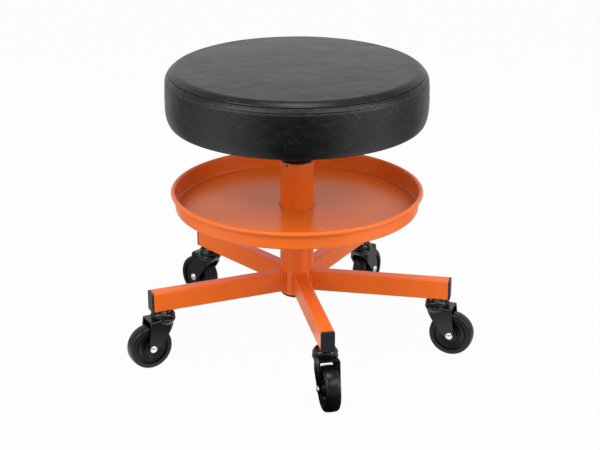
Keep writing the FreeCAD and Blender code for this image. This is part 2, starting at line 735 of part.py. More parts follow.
def lever_path():
    """The line of the lever: level over the valve pin, down past the bracket and level again."""
    corners = [Vector(0, y, z) for y, z in (
        (-LEVER_TAIL, lever_z), (LEVER_BEND_AT, lever_z),
        (lever_low_at, lever_z - LEVER_FALL), (LEVER_REACH, lever_z - LEVER_FALL))]
    edges = []
    here = corners[0]
    for before, corner, after in zip(corners, corners[1:], corners[2:]):
        arrive = (corner - before).normalize()
        leave = (after - corner).normalize()
        turn = arrive.getAngle(leave)
        setback = LEVER_BEND_R * math.tan(turn / 2)
        start, end = corner - arrive * setback, corner + leave * setback
        inward = (leave - arrive).normalize()
        sagitta = LEVER_BEND_R * (1 / math.cos(turn / 2) - 1)
        edges.append(Part.LineSegment(here, start).toShape())
        edges.append(Part.Arc(start, corner + inward * sagitta, end).toShape())
        here = end
    edges.append(Part.LineSegment(here, corners[-1]).toShape())
    return Part.Wire(edges)


def lever():
    """Bent round bar with a barrel welded across it for the pivot pin."""
    path = lever_path()
    start = Vector(0, -LEVER_TAIL, lever_z)
    section = Part.Wire(Part.makeCircle(LEVER_R, start, Vector(0, 1, 0)))
    body = path.makePipeShell([section], True, False)
    half = CHANNEL_W / 2 - BRACKET_T - AIR
    barrel = put(lay_along_x(rod(BARREL_R, -half, half)), Vector(0, PIVOT_REACH, lever_z))
    bore = lay_along_x(rod(PIVOT_PIN_R + RUN_FIT, -half - OVERRUN, half + OVERRUN))
    return body.fuse(barrel).removeSplitter().cut(put(bore, Vector(0, PIVOT_REACH, lever_z)))


def lever_grip():
    """Moulded grip pushed over the lever's end."""
    end = LEVER_REACH + GRIP_END
    start = end - GRIP_LEN
    half = GRIP_LEN / 2
    bulge = GRIP_R - GRIP_WAIST
    body = turned(outline(
        (0, -half), (bulge - GRIP_END, -half), arc((bulge - GRIP_END, -half + GRIP_END), GRIP_END, -90, 0),
        ((GRIP_R, 0), (bulge, half - GRIP_END)), arc((bulge - GRIP_END, half - GRIP_END), GRIP_END, 0, 90),
        (0, half),
    ))
    body = body.cut(rod(LEVER_R + SEAT_FIT, -half - OVERRUN, half - GRIP_END + SEAT_FIT))
    return put(lay_along_y(body), Vector(0, start + half, lever_z - LEVER_FALL))


# Seat

def side_arc(inset, down=False):
    """The bulge between the upright side and the seam, moved in by an inset."""
    rise = SEAM_UP - SIDE_UP
    radius = (rise ** 2 + SEAM_IN ** 2) / (2 * SEAM_IN)
    top_deg = math.degrees(math.asin(rise / radius))
    centre = (SEAT_R - radius, seat_z + SIDE_UP)
    ends = (top_deg, 0) if down else (0, top_deg)
    return arc(centre, radius - inset, *ends)


def edge_arc(inset, from_deg, to_deg):
    """The rounded lower edge, moved in by an inset."""
    return arc((SEAT_R - EDGE_ROUND, seat_z + EDGE_ROUND), EDGE_ROUND - inset, from_deg, to_deg)


def shoulder_arc(inset, from_deg, to_deg):
    """The rounding of the top panel above the seam, moved in by an inset."""
    return arc((seam_r - SHOULDER, seam_z + SEAM_GAP), SHOULDER - inset, from_deg, to_deg)


def crown_middle(inset):
    """A point half way along the crown of the top panel."""
    foot_z = seam_z + SEAM_GAP + SHOULDER
    middle = cap_arc(seam_r - SHOULDER, crown_z - foot_z)
    return (middle[0], foot_z + middle[1] - inset)


def side_band():
    """Vinyl band around the seat, turned in under the board as a hem."""
    return turned(outline(
        (HEM_R, seat_z), (SEAT_R - EDGE_ROUND, seat_z), edge_arc(0, -90, 0),
        (SEAT_R, seat_z + SIDE_UP), side_arc(0), side_arc(COVER_T)[1],
        side_arc(COVER_T, down=True), (SEAT_R - COVER_T, seat_z + EDGE_ROUND),
        edge_arc(COVER_T, 0, -90), (HEM_R, board_z),
    ))


def top_panel():
    """Crowned vinyl top, sewn to the band at the seam."""
    low = seam_z + SEAM_GAP
    flat_r = seam_r - SHOULDER
    return turned(outline(
        (seam_r, low), shoulder_arc(0, 0, 90), (crown_middle(0), (0, crown_z)),
        (0, crown_z - COVER_T), (crown_middle(COVER_T), (flat_r, low + SHOULDER - COVER_T)),
        shoulder_arc(COVER_T, 90, 0),
    ))


def foam():
    """Foam pad on the board, drawn down over its edge."""
    inset = COVER_T + SOFT_GAP
    skirt_r = board_r + SOFT_GAP
    board_top = board_z + BOARD_T
    reach = (skirt_r - SEAT_R + EDGE_ROUND) / (EDGE_ROUND - inset)
    skirt_deg = -math.degrees(math.acos(reach))
    skirt_end = edge_arc(inset, 0, skirt_deg)[1]
    flat_r = seam_r - SHOULDER
    return turned(outline(
        (0, board_top), (skirt_r, board_top), skirt_end, edge_arc(inset, skirt_deg, 0),
        (SEAT_R - inset, seat_z + SIDE_UP), side_arc(inset), (seam_r - inset, seam_z + SEAM_GAP),
        shoulder_arc(inset, 0, 90), (crown_middle(inset), (0, crown_z - inset)),
    ))


def board():
    """Plywood board with counterbored holes for the T-nuts."""
    top = board_z + BOARD_T
    body = turned(outline(
        (0, board_z), (board_r - BOARD_EDGE, board_z), (board_r, board_z + BOARD_EDGE),
        (board_r, top - BOARD_EDGE), (board_r - BOARD_EDGE, top), (0, top),
    ))
    for place in bolt_places():
        body = body.cut(rod(T_NUT_BARREL_R + SEAT_FIT, board_z - OVERRUN, top + OVERRUN, place))
        body = body.cut(rod(T_NUT_R + SEAT_FIT, top - T_NUT_T, top + OVERRUN, place))
    return body


def dust_cover():
    """Black cloth stapled under the board and over the hem."""
    inner = HEM_R - SOFT_GAP
    body = turned(outline(
        (0, bracket_z), (inner - DUST_T, bracket_z), (inner - DUST_T, seat_z - DUST_T),
        (SEAT_R - DUST_IN, seat_z - DUST_T), (SEAT_R - DUST_IN, seat_z), (inner, seat_z),
        (inner, board_z), (0, board_z),
    ))
    for place in bolt_places():
        body = body.cut(rod(BOLT_R + SEAT_FIT, bracket_z - OVERRUN, board_z + OVERRUN, place))
    return body


def t_nut():
    """T-nut let into the board's top."""
    top = board_z + BOARD_T
    plate = rod(T_NUT_R, top - T_NUT_T, top)
    barrel = rod(T_NUT_BARREL_R, top - T_NUT_BARREL_H, top)
    return plate.fuse(barrel).removeSplitter().cut(rod(BOLT_R + SEAT_FIT, board_z, top + OVERRUN))


def bolt():
    """Flanged hexagon bolt, up through the bracket into its T-nut."""
    under = bracket_z - BRACKET_T
    head_top = under - BOLT_FLANGE_T
    head = hexagon(BOLT_HEAD_FLATS, head_top - BOLT_HEAD_H, head_top)
    flange = rod(BOLT_FLANGE_R, head_top, under)
    shank = rod(BOLT_R, under, board_z + BOARD_T - T_NUT_T)
    return head.fuse([flange, shank]).removeSplitter()


def group(shapes):
    """Several separate solids as one shape."""
    return Part.makeCompound(shapes)


parts = {
    "column_tube": column(),
    "column_foot_disc": foot_disc(),
    "column_end_cap": end_cap(),
    "guide_bush": guide_bush(),
    "tool_tray": tray(),
    "tray_collar": tray_collar(),
    "piston_rod": piston_rod(),
    "rod_clip": rod_clip(),
    "rod_buffer": rod_buffer(),
    "foot_washer_lower": bearing_washer(bearing_z),
    "foot_washer_upper": bearing_washer(upper_washer_z),
    "foot_balls": group(balls(FOOT_BALL_R, FOOT_BALL_TRACK_R,
                              bearing_z + WASHER_T + RUN_FIT + FOOT_BALL_R, FOOT_BALL_COUNT)),
    "gas_cylinder": gas_cylinder(),
    "valve_pin": valve_pin(),
    "seat_bracket": bracket(),
    "taper_socket": socket(),
    "lever_pivot_pin": pivot_pin(),
    "height_lever": lever(),
    "lever_grip": lever_grip(),
    "seat_board": board(),
    "seat_foam": foam(),
    "seat_side_band": side_band(),
    "seat_top_panel": top_panel(),
    "seat_dust_cover": dust_cover(),
    "seat_bolts": group([put(bolt(), place) for place in bolt_places()]),
    "seat_t_nuts": group([put(t_nut(), place) for place in bolt_places()]),
}

stems, stem_nuts, swivel_balls = [], [], []
for number in range(LEGS):
    leg_deg = FIRST_LEG_DEG + 360 * number / LEGS + LEG_TURNS_DEG[number]
    heading = leg_deg + HEADINGS_DEG[number]
    place = around(stem_at, leg_deg)
    name = str(number + 1)
    parts["leg_" + name] = put(leg(), turn_deg=leg_deg)
    parts["leg_cap_" + name] = put(leg_cap(), turn_deg=leg_deg)
    parts["caster_cup_" + name] = put(cup(), place)
    parts["caster_fork_" + name] = put(fork(), place, heading)
    parts["caster_wheel_" + name] = put(wheel(), place, heading)
    parts["caster_axle_" + name] = put(axle(), place, heading)
    stems.append(put(stem(), place))
    stem_nuts.append(put(stem_nut(), place, leg_deg))
    swivel_balls += [put(ball, place) for ball in balls(BALL_R, BALL_TRACK_R, ball_z, BALL_COUNT)]
parts["caster_stems"] = group(stems)
parts["stem_nuts"] = group(stem_nuts)
parts["swivel_balls"] = group(swivel_balls)

for node, shape in parts.items():
    if not shape.isValid():
        raise ValueError(node + " isn't a valid solid")
    shape.exportStep(os.path.join("parts", node + ".step"))
    print(node, len(shape.Solids), round(shape.Volume / 1000, 2), "cm3")
print(len(parts), "nodes")
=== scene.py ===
"""Looks of a low rolling workshop seat: vinyl cushion, tool tray, star base and casters.

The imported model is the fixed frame, in metres with +Z up. Sizes in this file are millimetres,
and a mesh is scaled to metres when it is finished.
"""

import json
import logging
from collections.abc import Callable, Sequence
from dataclasses import dataclass, field
from enum import Enum
from math import asin, atan2, cos, degrees, exp, hypot, pi, radians, sin, tau

import bmesh
import bpy
from bpy.types import ID, Material, NodeSocket, Object
from mathutils import Matrix, Vector, kdtree, noise


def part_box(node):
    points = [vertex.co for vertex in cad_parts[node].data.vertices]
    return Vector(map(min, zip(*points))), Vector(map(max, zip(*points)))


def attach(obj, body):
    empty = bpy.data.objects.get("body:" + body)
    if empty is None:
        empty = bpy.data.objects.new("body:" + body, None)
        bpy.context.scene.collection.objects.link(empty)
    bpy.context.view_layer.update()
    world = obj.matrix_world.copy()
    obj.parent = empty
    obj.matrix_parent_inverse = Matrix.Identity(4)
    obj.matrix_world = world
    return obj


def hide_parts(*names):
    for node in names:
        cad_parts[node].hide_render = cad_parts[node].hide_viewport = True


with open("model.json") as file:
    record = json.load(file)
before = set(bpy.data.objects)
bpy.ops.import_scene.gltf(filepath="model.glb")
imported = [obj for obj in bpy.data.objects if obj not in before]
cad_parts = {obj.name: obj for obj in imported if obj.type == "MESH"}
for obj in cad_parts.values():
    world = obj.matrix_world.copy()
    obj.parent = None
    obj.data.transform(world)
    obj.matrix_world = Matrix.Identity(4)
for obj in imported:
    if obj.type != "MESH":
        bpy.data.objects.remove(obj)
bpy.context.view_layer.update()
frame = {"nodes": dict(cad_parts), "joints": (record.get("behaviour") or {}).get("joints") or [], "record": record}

log = logging.getLogger("seat")

Point = tuple[float, float]
Triple = tuple[float, float, float]
Colour = Triple

MM = 0.001
MERGE_MM = 0.0001        # vertices nearer than this are merged
LARGE_STEPS = 256        # steps round the tray, the column, the foam and the dust cloth
COVER_STEPS = 480        # steps round the cushion's cover
SMALL_STEPS = 96         # steps round a wheel and the pad that is simulated
LEGS = range(1, 6)       # numbers of the legs, their welds and casters
UP = Vector((0, 0, 1))
WHITE = (1.0, 1.0, 1.0, 1.0)


class Body(Enum):
    """The bodies of the frame that whole pieces ride on."""

    BASE = "base"
    SEAT = "seat"


class Slot(Enum):
    """The record's material slots."""

    VINYL = "vinyl"
    FOAM = "foam"
    PLYWOOD = "plywood"
    DUST_CLOTH = "dust_cloth"
    POWDER_COAT = "powder_coat"
    BLACK_PAINT = "black_paint"
    BLACK_PLASTIC = "black_plastic"
    WHEEL_PLASTIC = "wheel_plastic"
    BARE_STEEL = "bare_steel"
    ZINC = "zinc"
    CHROME = "chrome"
    RUBBER = "rubber"


# Shader maths

class Wire:
    """The output of a shader node. Sums on it add Math nodes."""

    def __init__(self, graph: "Graph", socket: NodeSocket) -> None:
        """Keeps the socket and the graph that it belongs to."""
        self.graph = graph
        self.socket = socket

    def math(self, operation: str, first: "Wire | float", second: "Wire | float") -> "Wire":
        """Adds one Math node, and gives its output."""
        return self.graph.node("Math", {"operation": operation}, {0: first, 1: second})

    def __add__(self, other: "Wire | float") -> "Wire":
        """This plus other."""
        return self.math("ADD", self, other)

    def __mul__(self, other: "Wire | float") -> "Wire":
        """This times other."""
        return self.math("MULTIPLY", self, other)

    __radd__, __rmul__ = __add__, __mul__

    def __sub__(self, other: "Wire | float") -> "Wire":
        """This minus other."""
        return self.math("SUBTRACT", self, other)

    def __rsub__(self, other: float) -> "Wire":
        """Other minus this."""
        return self.math("SUBTRACT", other, self)

    def most(self, other: "Wire | float") -> "Wire":
        """The larger of this and other."""
        return self.math("MAXIMUM", self, other)

    def size(self) -> "Wire":
        """This without its sign."""
        return self.math("ABSOLUTE", self, 0.0)

    def axis(self, letter: str) -> "Wire":
        """One axis of a place or direction."""
        return self.graph.node("SeparateXYZ", None, {0: self}, out=letter)

    def eased(self, low: float, high: float) -> "Wire":
        """0 at low, 1 at high and smooth between them."""
        return self.graph.node(
            "MapRange", {"interpolation_type": "SMOOTHSTEP"},
            {"Value": self, "From Min": low, "From Max": high, "To Min": 0.0, "To Max": 1.0})


class Graph:
    """The node tree of a material or of the world, emptied."""

    def __init__(self, owner: ID) -> None:
        """Takes over the owner's node tree."""
        owner.use_nodes = True
        self.tree = owner.node_tree
        self.tree.nodes.clear()

    def node(self, kind: str, settings: dict | None = None, sockets: dict | None = None,
             out: int | str = 0) -> Wire | None:
        """Adds one node of any type.

        Args:
            kind: the node's type, without the ShaderNode that starts each.
            settings: its properties, which are set first.
            sockets: values or wires by the socket's name or number.
            out: which output to return.

        Returns:
            The output as a wire, or None for a node without outputs.
        """
        made = self.tree.nodes.new(f"ShaderNode{kind}")
        for name, value in (settings or {}).items():
            setattr(made, name, value)
        for key, value in (sockets or {}).items():
            if isinstance(value, Wire):
                self.tree.links.new(value.socket, made.inputs[key])
            else:
                made.inputs[key].default_value = value
        return Wire(self, made.outputs[out]) if made.outputs else None

    def rays(self) -> tuple[Wire, Wire]:
        """Tells rays apart.

        Returns:
            1 for a reflection's rays, and 1 for the camera's rays and those through glass.
        """
        glossy, camera, through = (self.node("LightPath", out=f"Is {kind} Ray")
                                   for kind in ("Glossy", "Camera", "Transmission"))
        return glossy, camera.most(through)


class Surface(Graph):
    """A material in the making."""

    def __init__(self, name: str) -> None:
        """Makes the material and empties its tree."""
        self.made = bpy.data.materials.new(name)
        super().__init__(self.made)

    def place(self, stretch: Triple = (1.0, 1.0, 1.0), turn: float = 0.0, kind: str = "Object") -> Wire:
        """The piece's own coordinates, in metres.

        Args:
            stretch: a share per axis, below 1 to draw a pattern out along it.
            turn: turn about the upright axis, in degrees.
            kind: Object, or UV for the piece's UV map.

        Returns:
            The coordinates.
        """
        own = self.node("TexCoord", out=kind)
        return self.node("Mapping", {"vector_type": "TEXTURE"},
                         {"Vector": own, "Rotation": (0, 0, radians(turn)),
                          "Scale": tuple(1 / share for share in stretch)})

    def unrolled(self, stretch: Triple = (1.0, 1.0, 1.0), turn: float = 0.0) -> Wire:
        """The piece's UV map, laid out in metres, stretched and turned as place() does."""
        return self.place(stretch, turn, "UV")

    def noise(self, where: Wire, size_mm: float, detail: float = 2.0, rough: float = 0.5,
              twist: float = 0.0) -> Wire:
        """Soft noise.

        Args:
            where: the coordinates.
            size_mm: the size of its blots.
            detail: octaves.
            rough: how strong the finer octaves are.
            twist: how far it is distorted.

        Returns:
            A value about a half.
        """
        return self.node("TexNoise", None,
                         {"Vector": where, "Scale": 1 / (size_mm * MM), "Detail": detail,
                          "Roughness": rough, "Distortion": twist})

    def cells(self, where: Wire, size_mm: float, feature: str = "DISTANCE_TO_EDGE") -> Wire:
        """Distance to the edges, or to the centres, of cells of a size."""
        return self.node("TexVoronoi", {"feature": feature},
                         {"Vector": where, "Scale": 1 / (size_mm * MM)})

    def blend(self, share: Wire, first: Wire | Colour, second: Colour) -> Wire:
        """A colour between two, by a share."""
        start = first if isinstance(first, Wire) else rgba(first)
        return self.node("Mix", {"data_type": "RGBA"}, {0: share, 6: start, 7: rgba(second)}, out=2)

    def bump(self, height: Wire, depth_mm: float, strength: float = 1.0, over: Wire | None = None) -> Wire:
        """A relief.

        Args:
            height: its height, 0 to 1.
            depth_mm: how deep it is.
            strength: share of it that shows.
            over: a relief that this one lies on.

        Returns:
            The changed normal.
        """
        sockets = {"Height": height, "Distance": depth_mm * MM, "Strength": strength}
        if over is not None:
            sockets["Normal"] = over
        return self.node("Bump", None, sockets)

    def finish(self, **sockets: "Wire | float | tuple") -> Material:
        """Ends the material with one Principled shader.

        Args:
            sockets: its sockets, with underscores for spaces.

        Returns:
            The material.
        """
        named = {key.replace("_", " "): value for key, value in sockets.items()}
        shader = self.node("BsdfPrincipled", None, named)
        self.node("OutputMaterial", None, {"Surface": shader})
        return self.made


def rgba(colour: Colour) -> tuple[float, float, float, float]:
    """A colour as a socket takes it."""
    return (*colour, 1.0)


def darker(colour: Colour, share: float) -> Colour:
    """A share of a colour."""
    return tuple(channel * share for channel in colour)


# Finishes

@dataclass(frozen=True)
class PowderCoat:
    """Satin powder coat: even colour over a fine orange peel."""

    colour: Colour = (0.79, 0.142, 0.011)
    deep: Colour = (0.76, 0.132, 0.010)
    roughness: float = 0.31
    index: float = 1.40
    peel_mm: float = 1.6
    peel_depth_mm: float = 0.012
    cloud_mm: float = 70.0

    def material(self) -> Material:
        """Makes the material.

        Returns:
            The material.
        """
        coat = Surface("powder_coat_orange")
        where = coat.place()
        clouds = coat.noise(where, self.cloud_mm)
        peel = coat.noise(where, self.peel_mm, detail=1.0)
        return coat.finish(
            Base_Color=coat.blend(clouds.eased(0.35, 0.65), self.colour, self.deep),
            Roughness=self.roughness + (clouds - 0.5) * 0.10,
            IOR=self.index,
            Normal=coat.bump(peel, self.peel_depth_mm))


@dataclass(frozen=True)
class Vinyl:
    """Black upholstery vinyl: pebbled grain, fine leaning creases, soft dents and a mottled sheen in its
    roughness. Its colour is painted lighter in mottled patches, a painted sheen, and along the crease lines, a
    painted highlight.
    """

    name: str = "vinyl_black"
    colour: Colour = (0.0036, 0.0036, 0.0039)
    # painted sheen: the lighter colour of the vinyl's mottled patches
    painted_sheen: Colour = (0.0062, 0.0062, 0.0065)
    # painted highlight: the lighter colour along the crease lines
    crease_highlight: Colour = (0.012, 0.012, 0.0125)
    roughness: float = 0.33
    index: float = 1.41
    pebble_mm: float = 1.1
    pebble_depth_mm: float = 0.03
    crease_mm: float = 2.4
    crease_depth_mm: float = 0.08
    crease_lean: tuple[float, float] = (24.0, -38.0)
    patch_mm: float = 60.0
    dent_mm: float = 17.0
    dent_depth_mm: float = 0.55
    mottle_mm: float = 30.0

    def creases(self, hide: Surface, lean: float) -> Wire:
        """The height of thin strokes of creases that all lean one way, by an angle in degrees. The strokes also
        carry the painted highlight along the creases.
        """
        drawn = hide.unrolled(stretch=(0.11, 1.0, 1.0), turn=lean)
        return hide.noise(drawn, self.crease_mm, detail=1.0, rough=0.4, twist=0.15).eased(0.54, 0.72)

    def material(self) -> Material:
        """Makes the material.

        Returns:
            The material.
        """
        hide = Surface(self.name)
        pebble = hide.cells(hide.unrolled(), self.pebble_mm).eased(0.0, 0.22)
        mottle = hide.noise(hide.unrolled(stretch=(1.0, 2.2, 1.0)), self.mottle_mm, detail=4.0, rough=0.6)
        dents = hide.noise(hide.unrolled(stretch=(0.6, 1.3, 1.0)), self.dent_mm, detail=3.0, twist=0.4)
        soft = hide.bump(dents, self.dent_depth_mm, strength=0.5)
        patches = hide.noise(hide.unrolled(), self.patch_mm, detail=1.0)
        first = self.creases(hide, self.crease_lean[0]) * patches.eased(0.50, 0.62)
        second = self.creases(hide, self.crease_lean[1]) * (1.0 - patches.eased(0.38, 0.50))
        lines = first + second
        folds = hide.bump(lines, self.crease_depth_mm, over=soft)
        # painted sheen: the mottle lightens the colour in soft patches, and changes the roughness too
        plain = hide.blend(mottle.eased(0.35, 0.70), self.colour, self.painted_sheen)
        return hide.finish(
            # painted highlight: the crease lines are painted lighter, over their real relief
            Base_Color=hide.blend(lines, plain, self.crease_highlight),
            Roughness=self.roughness + (mottle - 0.5) * 0.24 + pebble * 0.04,
            IOR=self.index,
            Normal=hide.bump(pebble, self.pebble_depth_mm, strength=0.5, over=folds))


@dataclass(frozen=True)
class Thread:
    """Black sewing thread, with the slant of its twist. Its plies are painted lighter, a painted highlight, so
    that the stitches show as dotted highlights.
    """

    colour: Colour = (0.026, 0.026, 0.027)
    # painted highlight: the lighter colour on the thread's plies
    lit: Colour = (0.11, 0.11, 0.114)
    roughness: float = 0.42
    ply_mm: float = 0.5
    ply_depth_mm: float = 0.08

    def material(self) -> Material:
        """Makes the material.

        Returns:
            The material.
        """
        yarn = Surface("thread_black")
        plies = yarn.noise(yarn.place(stretch=(1.0, 1.0, 0.4)), self.ply_mm, detail=1.0)
        return yarn.finish(
            # painted highlight: the plies are painted lighter where their relief is high
            Base_Color=yarn.blend(plies.eased(0.35, 0.65), self.colour, self.lit),
            Roughness=self.roughness + (plies - 0.5) * 0.2,
            Normal=yarn.bump(plies, self.ply_depth_mm))


@dataclass(frozen=True)
class Moulded:
    """Moulded plastic: one colour, fine spark-eroded grain and slow changes of gloss."""

    name: str
    colour: Colour
    roughness: float
    grain_mm: float = 0.5
    grain_depth_mm: float = 0.02
    index: float = 1.5
    flow_mm: float = 18.0

    def material(self) -> Material:
        """Makes the material.

        Returns:
            The material.
        """
        shell = Surface(self.name)
        where = shell.place()
        grain = shell.noise(where, self.grain_mm)
        flow = shell.noise(where, self.flow_mm, detail=3.0)
        return shell.finish(
            Base_Color=shell.blend(flow.eased(0.3, 0.7), self.colour, darker(self.colour, 0.8)),
            Roughness=self.roughness + (flow - 0.5) * 0.12,
            IOR=self.index,
            Normal=shell.bump(grain, self.grain_depth_mm))


@dataclass(frozen=True)
class Metal:
    """Bare or plated metal: faint cloudiness and fine scratches."""

    name: str
    colour: Colour
    roughness: float
    scratch_depth_mm: float = 0.01
    scratch_mm: float = 2.4
    cloud_mm: float = 9.0

    def material(self) -> Material:
        """Makes the material.

        Returns:
            The material.
        """
        plate = Surface(self.name)
        clouds = plate.noise(plate.place(), self.cloud_mm, detail=3.0)
        fine = plate.noise(plate.place(stretch=(1.0, 1.0, 14.0)), self.scratch_mm, detail=4.0, rough=0.7)
        return plate.finish(
            Base_Color=plate.blend(clouds.eased(0.3, 0.7), self.colour, darker(self.colour, 0.82)),
            Roughness=self.roughness + (clouds - 0.5) * 0.16,
            Metallic=1.0,
            Normal=plate.bump(fine, self.scratch_depth_mm))


@dataclass(frozen=True)
class Ply:
    """Raw plywood: long grain and darker glue lines."""

    pale: Colour = (0.62, 0.44, 0.26)
    dark: Colour = (0.42, 0.26, 0.13)
    roughness: float = 0.72
    grain_mm: float = 5.0
    grain_depth_mm: float = 0.08
    layer_mm: float = 2.2

    def material(self) -> Material:
        """Makes the material.

        Returns:
            The material.
        """
        wood = Surface("plywood")
        fibres = wood.place(stretch=(0.08, 1.0, 1.0))
        grain = wood.noise(fibres, self.grain_mm, detail=6.0, rough=0.6, twist=0.6)
        layers = wood.noise(wood.place(stretch=(0.01, 0.01, 1.0)), self.layer_mm, detail=0.0)
        both = grain * 0.65 + layers * 0.35
        return wood.finish(
            Base_Color=wood.blend(both.eased(0.35, 0.65), self.pale, self.dark),
            Roughness=self.roughness + (grain - 0.5) * 0.2,
            Normal=wood.bump(grain, self.grain_depth_mm))


@dataclass(frozen=True)
class Sponge:
    """Open-cell foam, painted darker where its relief is low, as painted shade in its pores."""

    pale: Colour = (0.80, 0.72, 0.50)
    # painted shade: the colour of the low parts between the cells
    dark: Colour = (0.52, 0.43, 0.25)
    roughness: float = 0.95
    hole_mm: float = 1.5
    hole_depth_mm: float = 0.5

    def material(self) -> Material:
        """Makes the material.

        Returns:
            The material.
        """
        pad = Surface("foam_open_cell")
        holes = pad.cells(pad.place(), self.hole_mm, feature="F1")
        return pad.finish(
            # painted shade: darker away from the cell centres, where the relief is low
            Base_Color=pad.blend(holes.eased(0.25, 0.6), self.pale, self.dark),
            Roughness=self.roughness,
            Normal=pad.bump(1.0 - holes, self.hole_depth_mm, strength=0.7))


@dataclass(frozen=True)
class Nonwoven:
    """Black nonwoven cloth: pressed fibres."""

    colour: Colour = (0.012, 0.012, 0.013)
    fibre: Colour = (0.030, 0.030, 0.032)
    roughness: float = 0.90
    fibre_mm: float = 0.9
    press_mm: float = 2.0
    depth_mm: float = 0.12

    def material(self) -> Material:
        """Makes the material.

        Returns:
            The material.
        """
        cloth = Surface("nonwoven_black")
        fibres = cloth.noise(cloth.place(), self.fibre_mm, detail=4.0, rough=0.8, twist=2.0)
        pressed = cloth.cells(cloth.place(), self.press_mm, feature="F1")
        return cloth.finish(
            Base_Color=cloth.blend(fibres.eased(0.4, 0.7), self.colour, self.fibre),
            Roughness=self.roughness,
            Normal=cloth.bump(fibres * 0.5 + pressed * 0.5, self.depth_mm))


# painted shade: the side band's vinyl is a darker copy of the top's vinyl
SHADED_BAND = Vinyl("vinyl_black_band", (0.0028, 0.0028, 0.0031), (0.0050, 0.0050, 0.0053),
             (0.011, 0.011, 0.0115), crease_depth_mm=0.20)
FINISHES = {
    Slot.VINYL: Vinyl(),
    Slot.FOAM: Sponge(),
    Slot.PLYWOOD: Ply(),
    Slot.DUST_CLOTH: Nonwoven(),
    Slot.POWDER_COAT: PowderCoat(),
    Slot.BLACK_PAINT: Moulded("paint_black_gloss", (0.0035, 0.0035, 0.0038), 0.17, 1.4, 0.006, 1.46),
    Slot.BLACK_PLASTIC: Moulded("plastic_black", (0.0160, 0.0165, 0.0185), 0.36),
    Slot.WHEEL_PLASTIC: Moulded("plastic_wheel_black", (0.0030, 0.0030, 0.0033), 0.31, 0.6, 0.02, 1.37),
    Slot.BARE_STEEL: Metal("steel_bare", (0.52, 0.51, 0.50), 0.34, 0.02),
    Slot.ZINC: Metal("zinc_bright", (0.86, 0.87, 0.89), 0.23),
    Slot.CHROME: Metal("chrome_hard", (0.82, 0.83, 0.85), 0.08, 0.004),
    Slot.RUBBER: Moulded("rubber_black", (0.016, 0.016, 0.016), 0.70, 0.4, 0.05),
}


# Shapes

class Outline:
    """A line of (radius, height) points, drawn by runs and arcs."""

    def __init__(self, start: Point) -> None:
        """Starts the line at a point."""
        self.points: list[Point] = [start]

    def to(self, *ends: Point) -> "Outline":
        """Goes straight through the given points."""
        self.points.extend(ends)
        return self

    def run(self, end: Point, steps: int) -> "Outline":
        """Goes straight to a point in even steps."""
        start = Vector(self.points[-1])
        self.points.extend(tuple(start.lerp(Vector(end), step / steps)) for step in range(1, steps + 1))
        return self

    def arc(self, centre: Point, radii: Point, from_deg: float, to_deg: float, steps: int = 8) -> "Outline":
        """Goes along part of an ellipse.

        Args:
            centre: its centre.
            radii: its two radii.
            from_deg: the angle at its start.
            to_deg: the angle at its end.
            steps: how many points it adds.

        Returns:
            This outline.
        """
        for step in range(1, steps + 1):
            angle = radians(from_deg + (to_deg - from_deg) * step / steps)
            self.points.append((centre[0] + radii[0] * cos(angle), centre[1] + radii[1] * sin(angle)))
        return self


